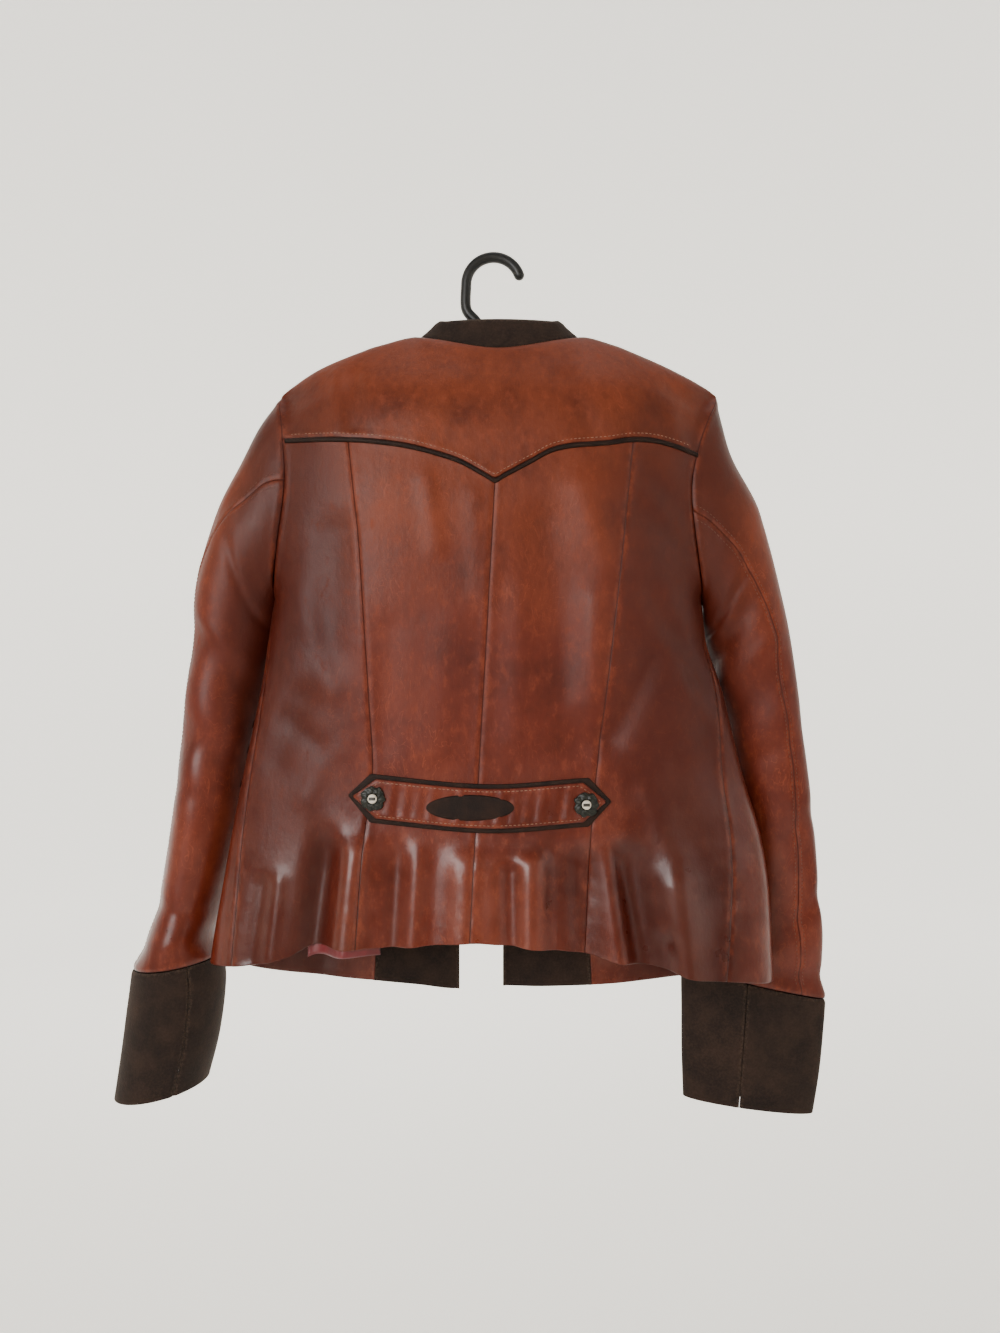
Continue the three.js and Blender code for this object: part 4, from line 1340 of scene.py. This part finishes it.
@dataclass
class Trim:
    """Piping, half belt, patch and buttons on the back."""

    torso: Torso
    leather: bpy.types.Material
    dark: bpy.types.Material
    horn: bpy.types.Material
    bone: bpy.types.Material
    left: float = -124.5
    right: float = 94.0
    half: float = 20.3
    point: float = 19.0
    edging: float = 3.6
    buttons: tuple[tuple[float, float], ...] = ((-103.7, 471.0), (73.3, 476.0))
    button_radius: float = 10.2
    stud_radius: float = 3.9
    patch: tuple[float, float, float, float] = (-23.0, 478.6, 36.5, 10.8)

    def build(self) -> None:
        """Make every piece of trim."""
        self.piping()
        self.belt_layer("belt_underlay", 0.0, 1.8, 1.3, Slot.TRIM, self.dark, 0.5)
        self.belt_layer("belt_face", self.edging, 3.5, 1.2, Slot.LEATHER, self.leather, 1.0)
        self.oval()
        for side, (x, drop) in zip(("left", "right"), self.buttons):
            self.knob("button_" + side, x, drop, 3.9, self.button_radius, 3.6, Slot.HORN, self.horn, False)
            self.knob("button_stud_" + side, x, drop, 7.0, self.stud_radius, 2.2, Slot.BONE, self.bone, True)

    def piping(self) -> None:
        """Dark piping under the yoke edge."""
        t = self.torso
        mid, half = t.girth(np.array(170.0))
        x = mid + half * np.linspace(-0.985, 0.985, 170)[None, :]
        angle = np.linspace(-1.45, 1.45, 9)[:, None]
        drop = t.yoke(x) + 2.4 + 2.1 * np.sin(angle)
        points, _ = t.on_back(x + 0 * drop, drop, 0.4 + 1.9 * np.cos(angle) + 0 * drop)
        Sheet(Piece("yoke_piping_skin", Slot.TRIM, self.dark, "yoke_piping"), points, 0.6,
              np.array((0, 0, -180.0)), None, "", 0.0, 0.0).build()

    def belt_half(self, x: Array, inset: float) -> Array:
        """Half height of the pointed belt.

        Args:
            x: place across.
            inset: how far inside the outline.

        Returns:
            Half heights.
        """
        tip = np.minimum(x - self.left, self.right - x) - inset * 1.3
        tall = self.half - inset
        return np.maximum(0.8, np.minimum(tall, tall * (tip + 0.8) / self.point))

    def belt_layer(self, node: str, inset: float, out: float, thick: float, slot: Slot,
                   material: bpy.types.Material, wrinkle: float) -> None:
        """One layer of the half belt.

        Args:
            node: solid that it stands for.
            inset: how far inside the outline.
            out: height of its face over the back.
            thick: thickness.
            slot: material slot.
            material: finish.
            wrinkle: strength of the cross wrinkles.
        """
        t = self.torso
        a, b = self.left + inset * 1.3, self.right - inset * 1.3
        x = np.concatenate([np.linspace(a, a + self.point, 14)[:-1],
                            np.linspace(a + self.point, b - self.point, 110),
                            np.linspace(b - self.point, b, 14)[1:]])[None, :]
        w = np.array([-1, -0.965, -0.92, -0.86, *np.linspace(-0.78, 0.78, 13), 0.86, 0.92, 0.965, 1])[:, None]
        half = self.belt_half(x, inset)
        drop = t.belt_middle(x) + half * w
        waves = ripple(x * 1.05 + 2.5 * w, 0.4) * np.exp(-((w / 0.95) ** 6))
        rounded = -0.9 * np.abs(w) ** 14
        points, _ = t.on_back(x + 0 * drop, drop, out + wrinkle * (0.5 * waves + rounded))
        fold = wrinkle * 2.2 * waves
        Sheet(Piece(node + "_skin", slot, material, node), points, thick, np.array((0, 0, -470.0)),
              fold + 0 * drop, "tb" if inset else "", 0.0, 0.0).build()

    def oval(self) -> None:
        """Plain blank oval patch on the belt."""
        x0, drop0, wide, tall = self.patch
        across = -np.cos(np.linspace(0, math.pi, 60))[None, :]
        w = np.linspace(-1, 1, 17)[:, None]
        height = np.maximum(0.8, tall * np.sqrt(1 - across**2))
        x = x0 + wide * across
        drop = drop0 + height * w
        rounded = -0.35 * np.maximum(np.abs(w), np.abs(across)) ** 10
        points, _ = self.torso.on_back(x + 0 * w, drop, 4.2 + rounded)
        Sheet(Piece("belt_patch_skin", Slot.TRIM, self.dark, "belt_patch"), points, 0.5,
              np.array((0, 0, -470.0)), None, "", 0.0, 0.0).build()

    def knob(self, node: str, x: float, drop: float, out: float, radius: float, height: float, slot: Slot,
             material: bpy.types.Material, slotted: bool) -> None:
        """A round carved piece on the belt.

        Args:
            node: solid that it stands for.
            x: place across.
            drop: height below the origin.
            out: height of its foot over the back.
            radius: outer radius.
            height: height of its top.
            slot: material slot.
            material: finish.
            slotted: whether it has a straight slot, else it is carved.
        """
        foot, axis = self.torso.on_back(np.array(x), np.array(drop), np.array(out))
        across = unit(np.array((1.0, 0, 0)) - axis * axis[0])
        up = np.cross(across, axis)
        up = up * (1 if up[2] > 0 else -1)
        angle = np.linspace(0, 2 * math.pi, 97)[:-1]
        rings = np.array([*np.linspace(0.04, 0.9, 22), 0.95, 0.985, 1.0])[:, None]
        u, v = rings * np.cos(angle), rings * np.sin(angle)
        if slotted:
            rim = np.ones_like(angle)
            top = 1 - 0.35 * rings**4 + 0 * u
            cut = (np.abs(u) < 0.72) * np.clip((0.34 - np.abs(v)) / 0.08, 0, 1)
            carve = 1 - cut
            top = top - 0.5 * cut
        else:
            rim = 1 + 0.05 * np.cos(7 * angle) + 0.035 * np.cos(11 * angle + 1) - 0.03 * np.cos(4 * angle)
            facet = np.abs(np.sin(3.5 * angle + 1.4 * rings + 0.5)) ** 0.6
            scale = np.abs(np.sin(5 * angle - 6 * rings)) ** 0.8
            ring = smooth(0.36, 0.5, rings)
            carve = 0.25 + ring * (0.5 * facet + 0.35 * scale) * (1 - 0.4 * rings**3)
            top = 0.62 + 0.34 * carve - 0.3 * rings**4
        rise = np.where(rings > 0.99, 0.1, np.where(rings > 0.97, np.minimum(top, 0.55), top))
        flat = (u * rim)[..., None] * across + (v * rim)[..., None] * up
        points = foot + radius * flat + (height * rise)[..., None] * axis
        middle = foot + axis * height * float(np.mean(rise[0]))
        base = foot + axis * 0.02
        n, m = points.shape[:2]
        ids = np.arange(n * m).reshape(n, m)
        nxt = np.roll(ids, -1, axis=1)
        quads = np.stack([ids[:-1], ids[1:], nxt[1:], nxt[:-1]], -1)
        faces: list[Sequence[int]] = quads.reshape(-1, 4).tolist()
        faces += [(n * m, ids[0, j], nxt[0, j]) for j in range(m)]
        faces += [(n * m + 1, nxt[-1, j], ids[-1, j]) for j in range(m)]
        corners = np.concatenate([points.reshape(-1, 3), middle[None], base[None]])
        turn = np.cross(points[4, 1] - points[4, 0], points[5, 0] - points[4, 0])
        if np.dot(turn, axis) > 0:
            faces = [tuple(reversed(f)) for f in faces]
        # the carve marks set the painted shade of the cuts and the slot
        marks = np.concatenate([np.clip(carve + 0 * u, 0, 1).ravel(), [0.4, 0.0]])
        Piece(node + "_skin", slot, material, node).place(corners, faces, {"carve": marks})


@dataclass
class Stitching:
    """Rows of thread stitches, joined into one mesh for each row."""

    torso: Torso
    trim: Trim
    sleeves: tuple[Sleeve, Sleeve]
    thread: bpy.types.Material
    dark: bpy.types.Material
    length: float = 2.3
    pitch: float = 3.6
    wide: float = 0.25

    def build(self) -> None:
        """Sew the yoke, belt and sleeves."""
        t = self.torso
        x = np.linspace(-178, 164, 900)
        points, normals = t.on_back(x, t.yoke(x) - 3.2, np.full(x.shape, 0.75))
        self.row("yoke_stitches", points, normals, self.thread)
        self.row("belt_stitches", *self.belt_line(), self.thread)
        for sleeve in self.sleeves:
            v = np.linspace(0.01, 0.985, 900)
            name = sleeve.side.name.lower()
            for label, off in (("elbow", 0.075), ("elbow_under", -0.075)):
                at = sleeve.at(v, sleeve.elbow(v) - off)
                across = sleeve.at(v, sleeve.elbow(v) - off + 0.03) - at
                normal = unit(np.cross(across, np.gradient(at, axis=0)))
                outward = np.sum(normal * (at - sleeve.heart(v)), -1)
                normal = normal * np.where(outward < 0, -1, 1)[:, None]
                self.row(f"{label}_stitches_{name}", at + normal * 0.35, normal, self.dark)

    def belt_line(self) -> tuple[Array, Array]:
        """Line of stitches inside the edge of the belt's face.

        Returns:
            Points and directions out.
        """
        b = self.trim
        inset = b.edging + 2.6
        a, z = b.left + inset * 1.3 + 1, b.right - inset * 1.3 - 1
        x = np.linspace(a, z, 500)
        half = b.belt_half(x, inset)
        x2 = np.concatenate([x, x[::-1]])
        drop = self.torso.belt_middle(x2) + np.concatenate([-half, half[::-1]])
        return self.torso.on_back(x2, drop, np.full(x2.shape, 3.75))

    def row(self, name: str, points: Array, normals: Array, material: bpy.types.Material) -> None:
        """Lay stitches along a line.

        Args:
            name: name of the row.
            points: points of the line.
            normals: directions out.
            material: finish of the thread.
        """
        run = np.concatenate([[0], np.cumsum(np.linalg.norm(np.diff(points, axis=0), axis=1))])
        starts = np.arange(1.0, run[-1] - self.length, self.pitch)
        pick = lambda data, s: np.stack([np.interp(s, run, data[:, c]) for c in range(3)], -1)
        a, b = pick(points, starts), pick(points, starts + self.length)
        n = unit(pick(normals, starts + self.length / 2))
        along = unit(b - a)
        side = unit(np.cross(along, n))
        corners, faces = [], []
        angles = np.linspace(0, 2 * math.pi, 7)[:-1]
        for share, size, lift in ((0.0, 0.45, -0.15), (0.2, 1.0, 0.05), (0.8, 1.0, 0.05), (1.0, 0.45, -0.15)):
            centre = lerp(a, b, share) + n * lift
            for angle in angles:
                spoke = side * math.cos(angle) + n * math.sin(angle) * 0.8
                corners.append(centre + spoke * self.wide * size)
        block = np.stack(corners, 1)
        count = block.shape[1]
        for k in range(len(starts)):
            base = k * count
            for r in range(3):
                for j in range(6):
                    p, q = base + r * 6 + j, base + r * 6 + (j + 1) % 6
                    faces.append((p, q, q + 6, p + 6))
            faces.append(tuple(base + j for j in reversed(range(6))))
            faces.append(tuple(base + 18 + j for j in range(6)))
        Piece(name, Slot.LEATHER, material).place(block.reshape(-1, 3), faces)


@dataclass
class Hanger:
    """Plain black hanger: hook and arms."""

    torso: Torso
    plastic: bpy.types.Material
    bar: float = 9.4
    radius: float = 24.4
    middle: float = -4.0
    arm_bar: float = 10.0

    def build(self) -> None:
        """Make the hook and the arms."""
        low = self.radius - self.bar / 2
        line = [(-13, 0, -64), (-13.5, 0, -60.5), (-20, 0, -52), (self.middle - self.radius, 0, -41)]
        for angle in np.linspace(math.pi, 0.36, 15):
            line.append((self.middle + self.radius * math.cos(angle), 0,
                         -low + self.radius * math.sin(angle)))
        self.tube("hanger_hook", np.array(line, float), self.bar / 2)
        x = np.linspace(-170, 170, 25)
        out = np.abs(x)
        ridge = self.torso.shoulder_line(x) + (1.4 + 1.2 + self.arm_bar / 2) * 1.12
        drop = lerp(lerp(74, 82.5, smooth(10, 50, out)), ridge, smooth(74, 100, out))
        y = -15 * smooth(5, 55, out) + 6 * smooth(78, 104, out)
        self.tube("hanger_arms", np.stack([x, y, -drop], -1), self.arm_bar / 2)

    def tube(self, node: str, line: Array, radius: float) -> None:
        """Round bar with domed ends along a line.

        Args:
            node: solid that it stands for.
            line: points of the middle line.
            radius: radius of the bar.
        """
        place = np.linspace(0, len(line) - 1, 120)
        curve = [Curve(*zip(range(len(line)), line[:, axis])) for axis in range(3)]
        fine = np.stack([c(place) for c in curve], -1)
        tangent = unit(np.gradient(fine, axis=0))
        ends = np.linspace(0, math.pi / 2, 7)[:-1]
        size = np.concatenate([np.sin(ends), np.ones(len(fine)), np.sin(ends)[::-1]]) * radius
        size = np.maximum(size, radius * 0.04)
        head = fine[0] - tangent[0] * (radius * np.cos(ends))[:, None]
        tail = fine[-1] + tangent[-1] * (radius * np.cos(ends)[::-1])[:, None]
        centre = np.concatenate([head, fine, tail])
        direction = np.concatenate([np.repeat(tangent[:1], 6, 0), tangent, np.repeat(tangent[-1:], 6, 0)])
        aside = np.array((0.0, 1.0, 0.0))
        up = unit(np.cross(direction, aside))
        angle = np.linspace(0, 2 * math.pi, 33)[:-1]
        ring = (aside * np.cos(angle)[None, :, None] + up[:, None] * np.sin(angle)[None, :, None])
        points = centre[:, None] + ring * size[:, None, None]
        n, m = points.shape[:2]
        ids = np.arange(n * m).reshape(n, m)
        nxt = np.roll(ids, -1, axis=1)
        faces = np.stack([ids[:-1], nxt[:-1], nxt[1:], ids[1:]], -1).reshape(-1, 4).tolist()
        faces += [ids[0, ::-1].tolist(), ids[-1].tolist()]
        Piece(node + "_skin", Slot.PLASTIC, self.plastic, node).place(points.reshape(-1, 3), faces)


@dataclass
class Studio:
    """Camera, pale glowing floor and soft lights."""

    camera: tuple[float, float, float] = (0.0018, -0.93, -0.361)
    lens: float = 28.09
    floor: float = -1.25

    def shoot(self) -> None:
        """Place the camera."""
        data = bpy.data.cameras.new("camera")
        data.lens = self.lens
        data.sensor_width = 36
        data.dof.use_dof = False
        data.clip_end = 50
        made = bpy.data.objects.new("camera", data)
        made.location = self.camera
        made.rotation_euler = (math.pi / 2, 0, 0)
        bpy.context.scene.collection.objects.link(made)
        bpy.context.scene.camera = made

    def build(self) -> None:
        """Make the floor that rises to a far wall, and the lights; the floor and wall glow as painted light,
        bright behind the jacket and dim on the camera's side.
        """
        g = Graph("studio_paint")
        tone = g.noise(0.8, 2)
        pale = g.mix((0.80, 0.77, 0.70), (0.86, 0.83, 0.77), tone)
        # painted light: the floor and wall glow though they are no lamp, bright behind the jacket and dim on
        # the camera's side
        behind = g.node("ShaderNodeSeparateXYZ", values={0: g.coords()}, out="Y").step(-1.5, 2.5)
        painted_backdrop_glow = g.mix((0.05, 0.05, 0.048), (1.0, 0.985, 0.95), behind)
        paint = g.surface({
            "Base Color": pale, "Roughness": 0.9, "Emission Color": painted_backdrop_glow, "Emission Strength": 1.0,
        })
        bend = np.linspace(0, math.pi / 2, 12)
        radius = np.concatenate([[0.0001, 1.5], 3.2 + 1.6 * np.sin(bend), [4.8]])
        height = np.concatenate([[0, 0], 1.6 - 1.6 * np.cos(bend), [6.5]])
        angle = np.linspace(0, 2 * math.pi, 97)[:-1]
        points = np.stack([radius[:, None] * np.cos(angle), radius[:, None] * np.sin(angle),
                           self.floor + height[:, None] + 0 * angle], -1)
        n, m = points.shape[:2]
        ids = np.arange(n * m).reshape(n, m)
        nxt = np.roll(ids, -1, axis=1)
        mesh = bpy.data.meshes.new("floor")
        faces = np.stack([ids[:-1], ids[1:], nxt[1:], nxt[:-1]], -1).reshape(-1, 4).tolist()
        mesh.from_pydata(points.reshape(-1, 3).tolist(), [], faces)
        mesh.polygons.foreach_set("use_smooth", [True] * len(mesh.polygons))
        mesh.materials.append(paint)
        paint.cycles.emission_sampling = "NONE"
        floor = bpy.data.objects.new("floor", mesh)
        bpy.context.scene.collection.objects.link(floor)
        self.light("key", (-1.1, -1.9, 0.15), 1.1, 46)
        self.light("fill", (1.9, -1.0, 0.0), 1.4, 6)
        self.light("top", (0.1, 0.2, 1.9), 1.5, 12)
        self.light("rear", (-0.6, 2.0, 0.3), 1.6, 14)
        world = bpy.data.worlds.new("world")
        world.use_nodes = True
        world.node_tree.nodes["Background"].inputs[0].default_value = (1.0, 0.98, 0.95, 1)
        world.node_tree.nodes["Background"].inputs[1].default_value = 0.25
        bpy.context.scene.world = world

    def light(self, name: str, place: tuple[float, float, float], size: float, watts: float) -> None:
        """A square soft light that faces the jacket.

        Args:
            name: name of the light.
            place: where it stands.
            size: side of the square, in metres.
            watts: power.
        """
        data = bpy.data.lights.new(name, "AREA")
        data.energy = watts
        data.size = size
        made = bpy.data.objects.new(name, data)
        made.location = place
        aim = Vector((0, 0, -0.36)) - Vector(place)
        made.rotation_euler = aim.to_track_quat("-Z", "Y").to_euler()
        bpy.context.scene.collection.objects.link(made)


def sleeves(torso: Torso, leather: bpy.types.Material, suede: bpy.types.Material) -> tuple[Sleeve, Sleeve]:
    """The two sleeves as they hang.

    Args:
        torso: form of the body.
        leather: finish of the sleeves.
        suede: finish of the cuffs.

    Returns:
        Left and right sleeve.
    """
    left = Sleeve(
        Side.LEFT, torso,
        Path((0, -192, -8, 124.5), (0.06, -214.5, -8, 150.5), (0.12, -232, -8, 186), (0.19, -248, -8, 222),
             (0.26, -260, -6, 257), (0.33, -267.5, -4, 293), (0.41, -270, 0, 331), (0.5, -276.5, 2, 385),
             (0.6, -283, 2, 440), (0.7, -289, 2, 492), (0.8, -297, 4, 542), (0.9, -305, 6, 585),
             (0.96, -313, 6, 609), (1, -325, 6, 628), (1.05, -330, 6, 655), (1.12, -336, 6, 700),
             (1.2, -342.5, 6, 744)),
        Path((0, -197, -8, 300), (0.06, -195, -4, 306), (0.12, -193.5, 2, 313), (0.19, -193, 9, 322),
             (0.26, -194, 15, 333), (0.33, -196, 20, 348), (0.41, -200, 24, 370), (0.5, -207, 26, 410),
             (0.6, -215, 26, 455), (0.7, -224, 26, 500), (0.8, -236, 24, 545), (0.9, -249, 18, 583),
             (0.96, -255, 12, 602), (1, -251, 10, 619), (1.05, -247, 10, 644), (1.12, -252, 10, 690),
             (1.2, -262, 10, 731)),
        Curve((0, 34), (0.1, 38), (0.26, 42), (0.41, 45), (0.6, 44), (0.8, 42), (1, 43), (1.2, 42)),
        Curve((0, 30), (0.1, 36), (0.26, 42), (0.41, 46), (0.6, 46), (0.8, 44), (1, 44), (1.2, 42)),
        Curve((0, 1.45), (0.12, 1.05), (0.26, 0.44), (0.33, 0.28), (0.5, 0.25), (1.2, 0.25)),
        Curve((1, 2.1), (1.2, 2.1)),
        ((0.12, 0.9, 0.22, 0.5, -3, 0.05, 0.25), (0.42, 0.8, 0.46, 2.2, -3.5, 0.028, 0.3),
         (0.5, 0.6, 0.53, 1.8, 2.2, 0.03, 0.3), (0.56, 0.9, 0.6, 2.2, -3.5, 0.028, 0.3),
         (0.93, 0.2, 0.95, 1.6, 2.5, 0.03, 0.4), (0.2, 1.2, 0.27, 2.0, -1.6, 0.015, 0.3),
         (0.37, 0.8, 0.4, 2.0, 1, 0.014, 0.3), (0.65, 0.9, 0.68, 1.9, -1.4, 0.014, 0.3),
         (0.87, 0.7, 0.885, 1.8, -1.6, 0.014, 0.4),
         (0.45, -1.8, 0.5, -0.4, -3, 0.025, 0.4), (0.6, -1.8, 0.64, -0.4, -3, 0.025, 0.4)),
        leather, suede)
    right = Sleeve(
        Side.RIGHT, torso,
        Path((0, 193.5, -8, 124.5), (0.06, 208.5, -9, 150.5), (0.12, 219, -10, 186), (0.19, 229.5, -10, 222),
             (0.26, 239.5, -10, 257), (0.33, 249, -8, 293), (0.41, 258, -6, 332), (0.5, 267, -4, 388),
             (0.6, 274, -2, 440), (0.7, 281, 0, 492), (0.8, 286.5, 4, 545), (0.9, 289, 8, 600),
             (0.96, 291.5, 10, 635), (1, 296, 12, 661), (1.06, 294.5, 13, 694), (1.13, 291.5, 15, 730),
             (1.2, 286, 16, 766)),
        Path((0, 179, -8, 300), (0.06, 180, -5, 306), (0.12, 180.5, -1, 313), (0.19, 181, 5, 322),
             (0.26, 182.5, 11, 334), (0.33, 185, 17, 350), (0.41, 189, 23, 374), (0.5, 195, 29, 412),
             (0.6, 201, 34, 456), (0.7, 196, 40, 502), (0.8, 188, 42, 548), (0.9, 178, 42, 594),
             (0.96, 173, 40, 620), (1, 170, 36, 637), (1.06, 170, 35, 675), (1.13, 170, 34, 716),
             (1.2, 171, 32, 757)),
        Curve((0, 34), (0.1, 36), (0.26, 38), (0.41, 37), (0.5, 35), (0.6, 31), (0.7, 26), (0.8, 22),
              (0.9, 18), (1, 15), (1.2, 14)),
        Curve((0, 30), (0.1, 36), (0.26, 42), (0.41, 46), (0.6, 42), (0.8, 30), (1, 16), (1.2, 15)),
        Curve((0, 1.75), (0.2, 1.43), (0.35, 1.06), (0.5, 1), (0.8, 0.92), (1.2, 0.88)),
        Curve((1, 1.69), (1.2, 1.75)),
        ((0.3, 1.6, 0.36, 2.6, -4, 0.03, 0.3), (0.46, 1.2, 0.5, 2.6, -4, 0.03, 0.3),
         (0.9, 0.3, 0.95, 1.3, 4, 0.04, 0.35), (0.24, 1.7, 0.27, 2.5, -2.5, 0.014, 0.3),
         (0.4, 1.2, 0.43, 2.4, 2.2, 0.016, 0.3), (0.57, 1.3, 0.6, 2.4, -2.4, 0.016, 0.3),
         (0.7, 0.4, 0.74, 1.6, -1.8, 0.016, 0.4), (0.97, 0.3, 0.975, 1.5, -2.4, 0.01, 0.4),
         (0.84, 0.3, 0.9, 1.2, -2.0, 0.014, 0.3), (0.5, -1.8, 0.55, -0.4, -3, 0.025, 0.4)),
        leather, suede)
    return left, right


def main() -> None:
    """Build the pieces in order, then the studio."""
    logging.basicConfig(level=logging.INFO, format="%(message)s")
    studio = Studio()
    studio.shoot()
    torso = Torso()
    leather = LeatherFinish().build()
    suede = SuedeFinish().build()
    dark = PlainFinish("trim", (0.006, 0.0025, 0.0015), (0.018, 0.007, 0.004), 0.62, shine=0.15).build()
    red = PlainFinish(
        "lining_satin", (0.06, 0.0004, 0.002), (0.13, 0.001, 0.005), 0.4, 40, 0.0002, 0.2
    ).build()
    thread = PlainFinish("thread", (0.16, 0.075, 0.045), (0.30, 0.16, 0.10), 0.8, 300).build()
    brown = PlainFinish("brown_thread", (0.05, 0.015, 0.008), (0.12, 0.035, 0.018), 0.7, 300).build()
    horn = CarvedFinish("horn", (0.0015, 0.0015, 0.001), (0.011, 0.012, 0.009), 0.36, 0.25).build()
    bone = CarvedFinish("bone", (0.02, 0.016, 0.012), (0.55, 0.49, 0.40), 0.35).build()
    plastic = PlainFinish(
        "hanger_plastic", (0.004, 0.004, 0.004), (0.008, 0.008, 0.008), 0.4, 80, 0.0001, shine=0.3
    ).build()
    pair = sleeves(torso, leather, suede)
    trim = Trim(torso, leather, dark, horn, bone)
    trim.build()
    Stitching(torso, trim, pair, thread, brown).build()
    Body(torso, leather, suede, red).build()
    for sleeve in pair:
        sleeve.build()
    Hanger(torso, plastic).build()
    studio.build()


if __name__ == "__main__":
    main()
